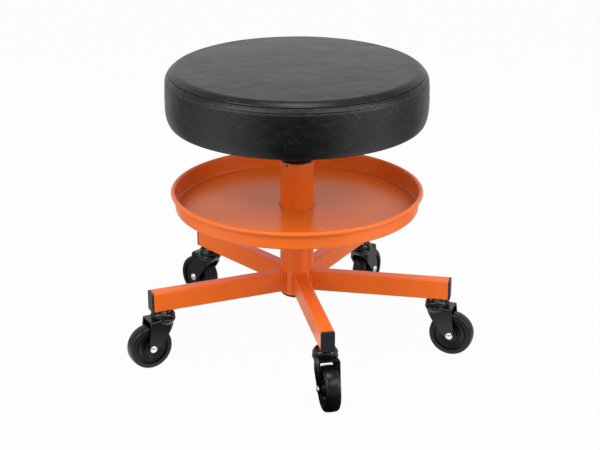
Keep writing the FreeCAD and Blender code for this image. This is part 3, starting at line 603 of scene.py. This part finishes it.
class Form:
    """A mesh in the making, in millimetres, shaped by bmesh operators."""

    def __init__(self) -> None:
        """Starts an empty mesh."""
        self.bm = bmesh.new()

    @classmethod
    def spun(cls, outline: Outline, steps: int, closed: bool = True) -> "Form":
        """Spins an outline once round the upright axis.

        Args:
            outline: the line.
            steps: how many steps the spin takes.
            closed: whether the line ends where it starts.

        Returns:
            The round form, with the distance along the line kept on its vertices.
        """
        form = cls()
        bm = form.bm
        along = bm.verts.layers.float.new("along")
        verts, reach, last = [], 0.0, None
        for radius, height in outline.points:
            vert = bm.verts.new((radius, 0, height))
            if last is not None:
                reach += (vert.co - last.co).length
            vert[along] = reach
            verts.append(vert)
            last = vert
        pairs = list(zip(verts, verts[1:])) + ([(verts[-1], verts[0])] if closed else [])
        edges = [bm.edges.new(pair) for pair in pairs]
        bmesh.ops.spin(bm, geom=verts + edges, cent=(0, 0, 0), axis=UP, dvec=(0, 0, 0), angle=tau,
                       steps=steps, use_merge=True, use_normal_flip=False, use_duplicate=False)
        bmesh.ops.remove_doubles(bm, verts=bm.verts, dist=MERGE_MM)
        bmesh.ops.recalc_face_normals(bm, faces=bm.faces)
        return form

    def outward(self) -> "Form":
        """Turns an open form's faces round if they point to its middle.

        Returns:
            This form.
        """
        faces = self.bm.faces
        middle = sum((f.calc_center_median() for f in faces), Vector()) / len(faces)
        if sum(f.calc_area() * f.normal.dot(f.calc_center_median() - middle) for f in faces) < 0:
            bmesh.ops.reverse_faces(self.bm, faces=faces)
        return self

    def moved(self, matrix: Matrix) -> "Form":
        """Moves the whole form."""
        bmesh.ops.transform(self.bm, matrix=matrix, verts=self.bm.verts)
        return self

    def shaped(self, change: Callable[[Vector], Vector]) -> "Form":
        """Moves every vertex.

        Args:
            change: gives the move of a vertex from its place.

        Returns:
            This form.
        """
        for vert in self.bm.verts:
            vert.co += change(vert.co)
        return self

    def unrolled(self, radius: float) -> "Form":
        """Lays a round form's UV map out in metres: along its circle, and along its outline.

        Args:
            radius: the circle that keeps its true length.

        Returns:
            This form.
        """
        along = self.bm.verts.layers.float["along"]
        layer = self.bm.loops.layers.uv.new("cover")
        for face in self.bm.faces:
            centre = face.calc_center_median()
            base = atan2(centre.y, centre.x)
            for loop in face.loops:
                angle = atan2(loop.vert.co.y, loop.vert.co.x)
                near = base + (angle - base + pi) % tau - pi
                loop[layer].uv = (near * radius * MM, loop.vert[along] * MM)
        return self

    def from_above(self) -> "Form":
        """Lays the UV map out in metres, as seen from above.

        Returns:
            This form.
        """
        layer = self.bm.loops.layers.uv.new("cover")
        for face in self.bm.faces:
            for loop in face.loops:
                loop[layer].uv = (loop.vert.co.x * MM, loop.vert.co.y * MM)
        return self

    def mesh(self, name: str) -> Object:
        """Ends the form as an object in metres, at the origin.

        Args:
            name: the object's name.

        Returns:
            The object.
        """
        bmesh.ops.scale(self.bm, vec=(MM, MM, MM), verts=self.bm.verts)
        data = bpy.data.meshes.new(name)
        self.bm.to_mesh(data)
        self.bm.free()
        made = bpy.data.objects.new(name, data)
        bpy.context.scene.collection.objects.link(made)
        return made


@dataclass
class Assembly:
    """A sub-assembly of the seat, dressed from the record's slots."""

    materials: dict[Slot, Material]

    def piece(self, form: Form, name: str, body: Body | str, slot: Slot, sharp_deg: float = 40.0,
              finish: Material | None = None) -> Object:
        """Ends a form as a piece of the object.

        Args:
            form: its form.
            name: its name.
            body: the body it rides on.
            slot: the record's slot of its finish.
            sharp_deg: edges that bend more than this stay sharp.
            finish: its material, where it isn't the slot's own.

        Returns:
            The piece.
        """
        made = form.mesh(name)
        made.data.shade_smooth()
        made.data.set_sharp_from_angle(angle=radians(sharp_deg))
        made.data.materials.append(finish or self.materials[slot])
        body = body.value if isinstance(body, Body) else body
        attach(made, body)
        return made


def applied(made: Object) -> None:
    """Applies an object's modifiers to its mesh."""
    depsgraph = bpy.context.evaluated_depsgraph_get()
    made.data = bpy.data.meshes.new_from_object(made.evaluated_get(depsgraph))
    made.modifiers.clear()


def thickened(made: Object, thick_mm: float, side: float) -> None:
    """Gives a sheet its thickness, outwards where side is 1 and inwards where it is -1."""
    solid = made.modifiers.new("thickness", "SOLIDIFY")
    solid.thickness = thick_mm * MM
    solid.offset = side


def corner(node: str, high: bool = True) -> Vector:
    """The highest or the lowest corner of a node's box, in millimetres."""
    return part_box(node)[1 if high else 0] / MM


def joint(name: str) -> dict:
    """The frame's row of a joint."""
    return next(row for row in frame["joints"] if row["name"] == name)


@dataclass(frozen=True)
class Relief:
    """A layer of soft relief: its height, the sizes of its waves two ways, and its seed."""

    height: float
    long: float
    wide: float
    seed: float

    def at(self, along: float, across: float) -> float:
        """Its height at a place, which is measured as its sizes are."""
        return self.height * noise.noise(Vector((along / self.long, across / self.wide, self.seed)))


def swept(path: Sequence[Vector], radii: Sequence[float], sides: int = 8) -> Form:
    """A closed ring of round section along a loop.

    Args:
        path: the points of the loop's middle line.
        radii: the section's radius at each point.
        sides: sides of the section.

    Returns:
        The ring.
    """
    form = Form()
    bm = form.bm
    count = len(path)
    frames = []
    for index, point in enumerate(path):
        ahead = path[(index + 1) % count] - path[index - 1]
        turn = ahead.to_track_quat("Z", "X").to_matrix().to_4x4()
        frames.append(Matrix.Translation(point) @ turn @ Matrix.Scale(radii[index], 4))
    first = bmesh.ops.create_circle(bm, cap_ends=False, segments=sides, radius=1.0,
                                    matrix=frames[0])["verts"]
    ring = list(bm.edges)
    for before, after in zip(frames, frames[1:]):
        made = bmesh.ops.extrude_edge_only(bm, edges=ring)["geom"]
        verts = [g for g in made if isinstance(g, bmesh.types.BMVert)]
        bmesh.ops.transform(bm, matrix=after @ before.inverted(), verts=verts)
        ring = [g for g in made if isinstance(g, bmesh.types.BMEdge) and all(v in verts for v in g.verts)]
    start = [e for e in bm.edges if all(v in first for v in e.verts)]
    bmesh.ops.bridge_loops(bm, edges=start + ring)
    bmesh.ops.recalc_face_normals(bm, faces=bm.faces)
    return form


# Cushion

@dataclass
class Swell:
    """How far the vinyl gives over the foam, from a short cloth simulation of the pad."""

    pressure: float = 4.0
    frames: int = 20
    voxel_mm: float = 6.0
    cap_mm: float = 5.0
    near: int = 6
    tree: kdtree.KDTree | None = None
    moves: list[Vector] = field(default_factory=list)

    def simulate(self, pad: Form, held: Callable[[Vector], bool]) -> None:
        """Blows up a copy of the pad, and keeps how far each point moved.

        Args:
            pad: the pad's plain form.
            held: says of a place whether the cover is sewn or stapled there.
        """
        proxy = pad.mesh("pad_proxy")
        remesh = proxy.modifiers.new("remesh", "REMESH")
        remesh.mode = "VOXEL"
        remesh.voxel_size = self.voxel_mm * MM
        applied(proxy)
        before = [v.co / MM for v in proxy.data.vertices]
        pins = proxy.vertex_groups.new(name="sewn")
        pins.add([i for i, place in enumerate(before) if held(place)], 1.0, "REPLACE")
        cloth = proxy.modifiers.new("cloth", "CLOTH")
        cloth.settings.vertex_group_mass = pins.name
        cloth.settings.use_pressure = True
        cloth.settings.uniform_pressure_force = self.pressure
        cloth.settings.effector_weights.gravity = 0.0
        scene = bpy.context.scene
        for number in range(1, self.frames + 1):
            scene.frame_set(number)
        depsgraph = bpy.context.evaluated_depsgraph_get()
        after = [v.co / MM for v in proxy.evaluated_get(depsgraph).data.vertices]
        scene.frame_set(1)
        self.tree = kdtree.KDTree(len(before))
        for index, (start, end) in enumerate(zip(before, after)):
            move = end - start
            self.moves.append(move.normalized() * min(move.length, self.cap_mm))
            self.tree.insert(start, index)
        self.tree.balance()
        bpy.data.objects.remove(proxy)

    def at(self, place: Vector) -> Vector:
        """How far the cover gives at a place.

        Args:
            place: the place.

        Returns:
            The move, or no move where nothing was simulated.
        """
        if self.tree is None:
            return Vector()
        total, weight = Vector(), 0.0
        for _, index, gap in self.tree.find_n(place, self.near):
            share = 1 / (gap + 1)
            total += self.moves[index] * share
            weight += share
        return total / weight


@dataclass
class Cushion(Assembly):
    """The seat: foam pad, sewn vinyl cover with its stitches, and dust cloth."""

    thread_finish: Material
    # painted shade: the darker copy of the vinyl, for the side band
    shaded_band_finish: Material
    seam_in: float = 6.0
    belly: float = 1.0
    side_up: float = 43.0
    low_edge: Point = (8.0, 27.5)
    cover: float = 1.0
    hem_r: float = 150.0
    soft_gap: float = 0.2
    cloth_t: float = 0.7
    cloth_gap: float = 0.05
    cloth_step: Point = (4.0, 0.5)
    board_in: float = 17.0
    board_t: float = 12.0
    seam_gap: float = 0.3
    tuck: float = 3.0
    turn_in: float = 0.5
    shoulder: Point = (13.0, 7.0)
    stitch_below: float = 7.8
    lean: float = 1.3
    crowding: float = 1.7
    stitch_pitch: float = 3.0
    stitch_long: float = 2.1
    thread: float = 0.5
    thread_out: float = 0.25
    groove: float = 0.7
    groove_w: float = 1.1
    fold: float = 0.2
    fold_w: float = 2.6
    give_share: float = 0.35
    sewn: Point = (8.0, 5.0)
    stapled: float = 6.0
    pucker_down: float = 14.0
    crease_belt: Point = (42.0, 26.0)
    crease_skew: Point = (20 / 26, 9 / 60)
    dents_in: float = 30.0
    pucker: Relief = Relief(0.35, 1 / 22, 40.0, 3.0)
    crease: Relief = Relief(0.38, 20.0, 9.0, 7.0)
    slack: Relief = Relief(0.5, 1 / 3, 60.0, 1.0)
    dent: Relief = Relief(0.8, 95.0, 52.0, 5.0)
    ripple: Relief = Relief(0.16, 34.0, 15.0, 9.0)

    def __post_init__(self) -> None:
        """Reads the cushion's place from the frame."""
        self.low = corner("seat_side_band", high=False).z
        self.radius = corner("seat_side_band").x
        self.seam = corner("seat_side_band").z
        self.crown = corner("seat_top_panel").z
        self.seam_r = self.radius - self.seam_in
        self.stitch = self.seam - self.stitch_below
        self.swell = Swell()

    def side_radius(self, height: float) -> float:
        """The side stands upright, has the stitched groove, and then leans in to the seam.

        Args:
            height: a height on the side.

        Returns:
            The side's radius there.
        """
        up = max(0.0, (height - self.low - self.side_up) / (self.stitch - self.low - self.side_up))
        over = max(0.0, (height - self.stitch) / self.stitch_below)
        base = self.radius - self.belly * min(1.0, up) ** 2
        base -= (self.seam_in - self.belly) * over ** self.lean
        dip = exp(-((height - self.stitch) / self.groove_w) ** 2)
        middle = (self.seam + self.stitch) / 2
        swell = exp(-((height - middle) / self.fold_w) ** 2)
        return base - self.groove * dip + self.fold * swell

    def side_line(self, inset: float, steps: int = 44) -> Outline:
        """The cover's side from the hem to the seam.

        Args:
            inset: how far it is moved in.
            steps: its points above the upright part, which crowd to the seam.

        Returns:
            The line.
        """
        wide, high = self.low_edge
        line = Outline((self.hem_r, self.low + inset))
        line.run((self.radius - wide, self.low + inset), 6)
        line.arc((self.radius - wide, self.low + high), (wide - inset, high - inset), -90, 0, 24)
        flat_top = self.low + self.side_up
        line.run((self.radius - inset, flat_top), 10)
        for step in range(1, steps + 1):
            share = 1 - (1 - step / steps) ** self.crowding
            height = flat_top + (self.seam - flat_top) * share
            line.to((self.side_radius(height) - inset, height))
        return line

    def tucked(self, line: Outline, lift: float) -> Outline:
        """Rounds a panel's line into the seam, and adds the edge that is turned in there.

        Args:
            line: the panel's line, which starts or ends at the seam.
            lift: the height of the turned-in edge over the seam.

        Returns:
            The line, from its turned-in edge where it started at the seam, or else to it.
        """
        edge, turn = (self.seam_r - self.tuck, self.seam + lift), self.turn_in
        starts = line.points[0][0] > line.points[-1][0]
        kept = [p for p in line.points if abs(p[1] - self.seam) > turn]
        (low_r, low_z), (high_r, high_z) = kept[:2] if starts else kept[-2:]
        lean = atan2(low_r - high_r, high_z - low_z)
        near = kept[0] if starts else kept[-1]
        centre = (near[0] - turn * cos(lean), near[1] - turn * sin(lean))
        if starts:
            bend = Outline((centre[0], centre[1] - turn)).arc(centre, (turn, turn), -90, degrees(lean), 6)
            return Outline(edge).run(bend.points[0], 3).to(*bend.points[1:], *kept[1:])
        return Outline(kept[0]).to(*kept[1:]).arc(centre, (turn, turn), degrees(lean), 90, 6).run(edge, 3)

    def top_line(self, inset: float, bend_steps: int = 20, steps: int = 30) -> Outline:
        """The top panel from the seam over the shoulder to the middle.

        Args:
            inset: how far it is moved in.
            bend_steps: points on its shoulder.
            steps: points on its top.

        Returns:
            The line.
        """
        wide, high = self.shoulder
        low = self.seam + self.seam_gap
        flat_r = self.seam_r - wide
        line = Outline((self.seam_r - inset, low))
        for step in reversed(range(bend_steps)):
            share = step / bend_steps
            line.to((flat_r + (wide - inset) * share, low + (high - inset) * (1 - share ** 2)))
        drop = self.crown - low - high
        for step in range(1, steps + 1):
            reach = flat_r * (1 - step / steps)
            line.to((reach, self.crown - inset - drop * (reach / flat_r) ** 2))
        return line

    def give(self, place: Vector) -> Vector:
        """How far the cover is off its smooth form at a place: its swell, puckers and soft creases.

        Args:
            place: the place.

        Returns:
            The move.
        """
        move = self.swell.at(place) * self.give_share
        angle = atan2(place.y, place.x)
        reach = hypot(place.x, place.y)
        out = Vector((cos(angle), sin(angle), 0))
        if place.z <= self.seam + self.cover and reach > self.hem_r:
            along = angle * self.radius
            belt_up, belt_w = self.crease_belt
            lean, climb = self.crease_skew
            at_seam = exp(-((self.seam - place.z) / self.pucker_down) ** 2)
            in_belt = exp(-((place.z - self.low - belt_up) / belt_w) ** 2)
            move += out * (at_seam * self.pucker.at(angle, place.z)
                           + in_belt * self.crease.at(along + lean * place.z, place.z - climb * along)
                           + self.slack.at(angle, place.z))
        else:
            edge = min(1.0, (self.radius - reach) / self.dents_in)
            move += UP * edge * (self.dent.at(place.x, place.y) + self.ripple.at(place.x, place.y))
        return move

    def held(self, place: Vector) -> bool:
        """Whether the cover is held at a place: at the seam, under the board and at the hem.

        Args:
            place: the place.

        Returns:
            True where it is.
        """
        reach = hypot(place.x, place.y)
        deep, high = self.sewn
        at_seam = abs(place.z - self.seam) < high and reach > self.seam_r - deep
        return at_seam or place.z < self.low + self.stapled

    def plain(self) -> Form:
        """The pad for the simulation.

        Returns:
            One plain closed form.
        """
        line = Outline((0.0, self.low)).to(*self.side_line(self.cover).points[1:])
        line.to(*self.top_line(self.cover).points)
        return Form.spun(line, SMALL_STEPS, closed=False)

    def shell(self, name: str, line: Outline, node: str, side: bool) -> None:
        """One panel of the cover, with its thickness on the inside.

        Args:
            name: the piece's name.
            line: the panel's outer line.
            node: the node it stands for.
            side: whether it is the side band, which is unrolled.
        """
        form = Form.spun(line, COVER_STEPS, closed=False).outward()
        form = form.unrolled(self.radius) if side else form.from_above()
        # painted shade: the side band takes the darker copy of the vinyl
        finish = self.shaded_band_finish if side else None
        made = self.piece(form.shaped(self.give), name, Body.SEAT, Slot.VINYL, 60, finish)
        thickened(made, self.cover, -1.0)
        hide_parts(node)

    def foam(self) -> None:
        """Makes the foam pad, over the board and drawn down over its edge."""
        inset = self.cover + self.soft_gap
        board_r = self.radius - self.board_in + self.soft_gap
        board_top = self.low + self.cover + self.board_t
        below, above = self.seam - self.tuck, self.seam + self.tuck
        line = Outline((0.0, board_top)).run((board_r, board_top), 8)
        line.to((board_r, self.low + 2 * self.cover))
        line.to(*[p for p in self.side_line(inset).points if p[0] > board_r and p[1] < below])
        line.to((self.seam_r - 2 * self.tuck, self.seam + self.seam_gap / 2))
        line.to(*[p for p in self.top_line(inset).points if p[1] > above])
        form = Form.spun(line, LARGE_STEPS, closed=False).shaped(self.give)
        made = self.piece(form, "seat_pad", Body.SEAT, Slot.FOAM)
        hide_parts("seat_foam")

    def stitches(self) -> None:
        """Makes the row of stitches in the groove under the seam, as one piece."""
        form = Form()
        row_r = self.side_radius(self.stitch) + self.thread * self.thread_out
        count = round(tau * row_r / self.stitch_pitch)
        size = Matrix.Diagonal((self.thread, self.stitch_long / 2, self.thread, 1.0))
        for number in range(count):
            angle = tau * number / count
            place = Vector((row_r * cos(angle), row_r * sin(angle), self.stitch))
            turn = Matrix.Rotation(angle, 4, "Z")
            bmesh.ops.create_uvsphere(form.bm, u_segments=6, v_segments=4, radius=1.0,
                                      matrix=Matrix.Translation(place + self.give(place)) @ turn @ size)
        self.piece(form, "seat_topstitch", Body.SEAT, Slot.VINYL, 180, self.thread_finish)

    def dust_cloth(self) -> None:
        """Makes the cloth that is stapled under the board."""
        edge = corner("seat_dust_cover").x
        under = corner("seat_dust_cover", high=False).z
        flat = self.low + self.cover - self.cloth_gap
        start, end = (self.hem_r - step for step in self.cloth_step)
        line = Outline((0.0, flat)).run((start, flat), 12)
        line.run((end, under + self.cloth_t), 3).run((edge, under + self.cloth_t), 5)
        form = Form.spun(line, LARGE_STEPS, closed=False)
        if form.bm.faces[:][0].normal.z > 0:
            bmesh.ops.reverse_faces(form.bm, faces=form.bm.faces)
        made = self.piece(form, "seat_dust_cloth", Body.SEAT, Slot.DUST_CLOTH)
        thickened(made, self.cloth_t, 1.0)
        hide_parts("seat_dust_cover")

    def build(self) -> None:
        """Makes the whole cushion."""
        self.swell.simulate(self.plain(), self.held)
        longest = max(move.length for move in self.swell.moves)
        log.info("cover simulated: %d points, largest move %.2f mm", len(self.swell.moves), longest)
        side = self.tucked(self.side_line(0.0), 0.0)
        top = self.tucked(self.top_line(0.0), self.seam_gap - self.soft_gap)
        self.shell("seat_side_cover", side, "seat_side_band", True)
        self.shell("seat_top_cover", top, "seat_top_panel", False)
        self.foam()
        self.stitches()
        self.dust_cloth()
        log.info("cushion built")


# Tray and column

@dataclass
class Tray(Assembly):
    """The spun tool tray, with its rolled rim."""

    sheet: float = 1.2
    rim_in: float = 0.5
    rim_up: float = 0.4
    roll: float = 3.4
    roll_end: float = -118.0
    taper: float = 2.2
    fillet: float = 2.5
    hole_clear: float = 1.8

    def line(self) -> Outline:
        """The section of the sheet, from the hole round the rim and back.

        Returns:
            The section.
        """
        rim_r, top = corner("tool_tray").x - self.rim_in, corner("tool_tray").z + self.rim_up
        floor = corner("tool_tray", high=False).z + self.sheet
        centre = (rim_r - self.roll, top - self.roll)
        lean = radians(self.taper)
        start = 180 - self.taper
        wall_top = (centre[0] + self.roll * cos(radians(start)),
                    centre[1] + self.roll * sin(radians(start)))
        bend_z = floor + self.fillet
        bend_r = wall_top[0] - (self.fillet - (bend_z - wall_top[1]) * sin(lean)) / cos(lean)
        hole = corner("column_tube").x + self.hole_clear
        inner, thin, foot = (self.roll,) * 2, (self.roll - self.sheet,) * 2, (self.fillet + self.sheet,) * 2
        line = Outline((hole, floor)).run((bend_r, floor), 12)
        line.arc((bend_r, bend_z), (self.fillet,) * 2, -90, -self.taper, 8)
        line.run(wall_top, 5).arc(centre, inner, start, self.roll_end, 24)
        line.arc(centre, thin, self.roll_end, self.roll_end, 1).arc(centre, thin, self.roll_end, start, 20)
        line.arc((bend_r, bend_z), foot, -self.taper, -self.taper, 1)
        line.arc((bend_r, bend_z), foot, -self.taper, -90, 8)
        return line.run((hole, floor - self.sheet), 8)

    def build(self) -> None:
        """Makes the tray."""
        form = Form.spun(self.line(), LARGE_STEPS)
        made = self.piece(form, "tray_pan", Body.BASE, Slot.POWDER_COAT, 35)
        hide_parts("tool_tray")
        log.info("tray built")


@dataclass
class Column(Assembly):
    """The column tube and the welds of the legs on it."""

    wall: float = 2.0
    rim: float = 0.5
    hole_r: float = 1.85
    hole_below: float = 2.8
    hole_deg: float = -134.9
    leg_w: float = 20.0
    bead: float = 1.5
    bead_out: float = 0.35
    bead_clear: float = 0.5
    ripple: float = 0.22
    ripple_pitch: float = 2.1
    ripple_steps: int = 5

    def tube(self) -> None:
        """Makes the tube, with a small rounding at its mouth and the hole of the snap nub."""
        outer = corner("column_tube").x
        low, top = corner("column_tube", high=False).z, corner("column_tube").z
        inner = outer - self.wall
        line = Outline((inner, low)).to((outer, low)).run((outer, top - self.rim), 6)
        line.arc((outer - self.rim, top - self.rim), (self.rim,) * 2, 0, 90, 4)
        line.arc((inner + self.rim, top - self.rim), (self.rim,) * 2, 90, 180, 4)
        form = Form.spun(line, LARGE_STEPS)
        made = self.piece(form, "column_body", Body.BASE, Slot.POWDER_COAT, 35)
        drill = Form()
        at = Matrix.Rotation(radians(self.hole_deg), 4, "Z") @ Matrix.Translation(
            (outer, 0, top - self.hole_below)) @ Matrix.Rotation(radians(90), 4, "Y")
        bmesh.ops.create_cone(drill.bm, cap_ends=True, segments=24, radius1=self.hole_r, radius2=self.hole_r,
                              depth=4 * self.wall, matrix=at)
        cutter = drill.mesh("drill")
        cut = made.modifiers.new("hole", "BOOLEAN")
        cut.object = cutter
        cut.solver = "EXACT"
        applied(made)
        bpy.data.objects.remove(cutter)
        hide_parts("column_tube")

    def weld(self, number: int) -> None:
        """Makes the bead of weld round one leg's end.

        Args:
            number: the leg's number, from 1.
        """
        outer = corner("column_tube").x + self.bead * self.bead_out
        low, top = corner("leg_1", high=False).z, corner("leg_1").z
        stem = joint(f"caster_swivel_{number}")["pos_m"]
        middle = atan2(stem[1], stem[0])
        half = asin(self.leg_w / 2 / outer) + self.bead_clear * self.bead / outer
        corners = [(-half, low), (half, low), (half, top), (-half, top)]
        path, radii, gone = [], [], 0.0
        for (a, z), (b, w) in zip(corners, corners[1:] + corners[:1]):
            length = hypot((b - a) * outer, w - z)
            steps = round(length / (self.ripple_pitch / self.ripple_steps))
            for step in range(steps):
                share = step / steps
                angle = middle + a + (b - a) * share
                path.append(Vector((outer * cos(angle), outer * sin(angle), z + (w - z) * share)))
                wave = abs(sin(pi * (gone + length * share) / self.ripple_pitch))
                radii.append(self.bead + self.ripple * (wave - 0.5))
            gone += length
        self.piece(swept(path, radii), f"leg_weld_{number}", Body.BASE, Slot.POWDER_COAT, 80)

    def build(self) -> None:
        """Makes the tube and the welds."""
        self.tube()
        for number in LEGS:
            self.weld(number)
        log.info("column built, with %d welds", len(LEGS))


# Casters

@dataclass
class Wheel(Assembly):
    """One moulded wheel, placed by the frame's own joint."""

    number: int
    width: float = 21.0
    tread_round: float = 4.2
    crown: float = 0.5
    web: float = 4.6
    hub_r: float = 10.3
    boss_r: float = 7.0
    boss: float = 12.7
    bore: float = 3.05
    draft: float = 0.8
    ring_shares: tuple[float, float, float, float] = (0.40, 0.675, 0.735, 0.745)
    ring_depths: Point = (0.3, 0.75)
    soft: float = 0.5

    def line(self, radius: float) -> Outline:
        """The wheel's section, from the bore over one face, the tread and the other face.

        Args:
            radius: the wheel's radius.

        Returns:
            The section.
        """
        face = self.width / 2
        floor = face - self.web
        step, groove = (face - depth * self.web for depth in self.ring_depths)
        edge = radius - self.crown - self.tread_round
        soft, draft = self.soft, self.draft
        ring, inner, outer, rim = (share * radius for share in self.ring_shares)
        side = Outline((self.bore, self.boss)).to((self.boss_r - soft, self.boss))
        side.arc((self.boss_r - soft, self.boss - soft), (soft, soft), 90, 0, 3).to((self.boss_r, face))
        side.to((self.hub_r - soft, face)).arc((self.hub_r - soft, face - soft), (soft, soft), 90, 0, 3)
        side.to((self.hub_r + draft, floor), (ring, floor), (ring + draft, floor + draft))
        side.run((inner - soft, step), 4).to((inner, step - soft))
        side.to((inner, groove), (outer, groove), (rim, face - soft), (rim + soft, face))
        side.run((edge, face), 3)
        side.arc((edge, face - self.tread_round), (self.tread_round,) * 2, 90, 8, 9)
        half = face - self.tread_round
        tread = [(radius - self.crown * (part / 4) ** 2, half * part / -4) for part in range(-3, 4)]
        return side.to(*tread, *[(r, -z) for r, z in reversed(side.points)])

    def build(self) -> None:
        """Makes the wheel on its axle."""
        roll = joint(f"wheel_roll_{self.number}")
        node = f"caster_wheel_{self.number}"
        low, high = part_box(node)
        radius = (high.z - low.z) / 2 / MM
        turn = Vector(roll["axis"]).to_track_quat("Z", "Y").to_matrix().to_4x4()
        place = Matrix.Translation(Vector(roll["pos_m"]) / MM) @ turn
        form = Form.spun(self.line(radius), SMALL_STEPS).moved(place)
        name = f"wheel_{self.number}"
        made = self.piece(form, name, name, Slot.WHEEL_PLASTIC, 30)
        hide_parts(node)


# Studio

@dataclass(frozen=True)
class Lamp:
    """A soft lamp: its bearing and height in degrees, its distance and size in metres, its watts."""

    name: str
    azimuth: float
    elevation: float
    away: float
    size: Point
    watts: float


@dataclass
class Studio:
    """Floor, world, lamps and camera. Pairs are where a change of level starts and ends."""

    distance: float = 2.3406
    aim: Triple = (0.0, 0.0, 0.1825)
    turn_deg: float = -8.0
    down_deg: float = 21.17
    lens: float = 94.574
    shift: Point = (0.00506, 0.00350)
    floor_size: float = 12.0
    floor_colour: Colour = (0.50, 0.50, 0.50)
    own_glow: float = 0.96
    gloss_steps: tuple[Triple, ...] = ((8.0, 60.0, 1.24), (66.0, 108.0, -0.92), (114.0, 142.0, 0.35))
    backdrop_top: Point = (0.45, 0.80)
    backdrop_side: Point = (0.15, 0.75)
    backdrop_level: float = 0.87
    dim_level: float = 0.38
    skirt_top: Point = (0.10, 0.40)
    skirt_level: float = 0.75
    walls_top: Point = (0.0, 0.9)
    walls_level: float = 1.06
    ceiling_level: float = 0.50
    lamps: tuple[Lamp, ...] = (
        Lamp("lamp_left", -70.0, 24.0, 2.6, (1.2, 1.2), 14.0),
        Lamp("lamp_right", 58.0, 22.0, 2.6, (1.2, 1.2), 20.0),
        Lamp("key_left", -52.0, 46.0, 2.6, (2.0, 0.8), 22.0),
        Lamp("key_right", 36.0, 46.0, 2.6, (2.1, 0.8), 22.0),
        Lamp("lamp_top", -8.0, 84.0, 2.4, (0.75, 0.75), 14.0))

    def floor(self) -> None:
        """A pale floor, white to the camera, with the object's shadow. Its lit parts show in gloss."""
        form = Form()
        bmesh.ops.create_grid(form.bm, x_segments=1, y_segments=1, size=self.floor_size / 2 / MM)
        ground = form.mesh("floor")
        pale = Surface("floor_pale")
        place = pale.node("TexCoord", out="Object")
        across, front = place.axis("X"), 0.0 - place.axis("Y")
        bearing = (across.math("ARCTAN2", across, front) - radians(self.turn_deg)).size()
        level = 0.0
        for start, end, rise in self.gloss_steps:
            level = level + bearing.eased(radians(start), radians(end)) * rise
        lit = pale.node("BsdfDiffuse", None, {"Color": rgba(self.floor_colour)})
        glossy, plain = pale.rays()
        glow = pale.node("Emission", None, {"Color": WHITE, "Strength": plain.most(glossy * level)})
        share = glossy.most(plain * self.own_glow)
        both = pale.node("MixShader", None, {0: share, 1: lit, 2: glow})
        pale.node("OutputMaterial", None, {"Surface": both})
        ground.data.materials.append(pale.made)

    def world(self) -> None:
        """White to the camera, white behind and dimmer overhead in gloss, plain light elsewhere."""
        sky = bpy.data.worlds.new("studio")
        bpy.context.scene.world = sky
        tree = Graph(sky)
        way = tree.node("TexCoord", out="Generated")
        back, up = way.axis("Y"), way.axis("Z")
        behind = back.eased(*self.backdrop_side) * (1.0 - up.eased(*self.backdrop_top))
        skirt = (1.0 - up.eased(*self.skirt_top)) * self.skirt_level
        mirrored = (self.dim_level + behind * (self.backdrop_level - self.dim_level)).most(skirt)
        around = self.walls_level - up.eased(*self.walls_top) * (self.walls_level - self.ceiling_level)
        glossy, plain = tree.rays()
        level = around * (1.0 - plain.most(glossy)) + plain.most(glossy * mirrored)
        light = tree.node("Background", None, {"Color": WHITE, "Strength": level})
        tree.node("OutputWorld", None, {"Surface": light})

    def stand(self, data: ID, azimuth_deg: float, elevation_deg: float, away: float) -> Object:
        """Sets a lamp or the camera up, pointed at the object.

        Args:
            data: the lamp's or camera's data, whose name it takes.
            azimuth_deg: its azimuth, from the front to the right.
            elevation_deg: its elevation.
            away: its distance, in metres.

        Returns:
            The lamp or camera.
        """
        azimuth, elevation = radians(azimuth_deg), radians(elevation_deg)
        back = Vector((sin(azimuth) * cos(elevation), -cos(azimuth) * cos(elevation), sin(elevation)))
        made = bpy.data.objects.new(data.name, data)
        made.location = Vector(self.aim) + back * away
        made.rotation_euler = back.to_track_quat("Z", "Y").to_euler()
        bpy.context.scene.collection.objects.link(made)
        return made

    def light(self, lamp: Lamp) -> None:
        """Makes one lamp."""
        data = bpy.data.lights.new(lamp.name, "AREA")
        data.shape = "RECTANGLE"
        (data.size, data.size_y), data.energy = lamp.size, lamp.watts
        self.stand(data, lamp.azimuth, lamp.elevation, lamp.away)

    def camera(self) -> None:
        """The camera at the photograph's angle."""
        data = bpy.data.cameras.new("camera")
        data.lens = self.lens
        data.shift_x, data.shift_y = self.shift
        bpy.context.scene.camera = self.stand(data, self.turn_deg, self.down_deg, self.distance)

    def build(self) -> None:
        """Sets the studio up."""
        self.floor()
        self.world()
        for lamp in self.lamps:
            self.light(lamp)
        self.camera()
        bpy.context.scene.view_settings.view_transform = "Standard"
        log.info("studio set up")


def dress(materials: dict[Slot, Material]) -> None:
    """Gives every node of the frame the material of its slot.

    Args:
        materials: the materials by slot.
    """
    for row in frame["record"]["subparts"]:
        node = frame["nodes"][row["node"]]
        for slot in node.material_slots:
            slot.material = materials[Slot(row["material_slot"])]


def main() -> None:
    """Builds the looks of the whole seat."""
    logging.basicConfig(level=logging.INFO, format="%(message)s")
    materials = {slot: finish.material() for slot, finish in FINISHES.items()}
    dress(materials)
    Cushion(materials, Thread().material(), SHADED_BAND.material()).build()
    Tray(materials).build()
    Column(materials).build()
    for number in LEGS:
        Wheel(materials, number).build()
    log.info("%d wheels built", len(LEGS))
    Studio().build()


if __name__ == "__main__":
    main()
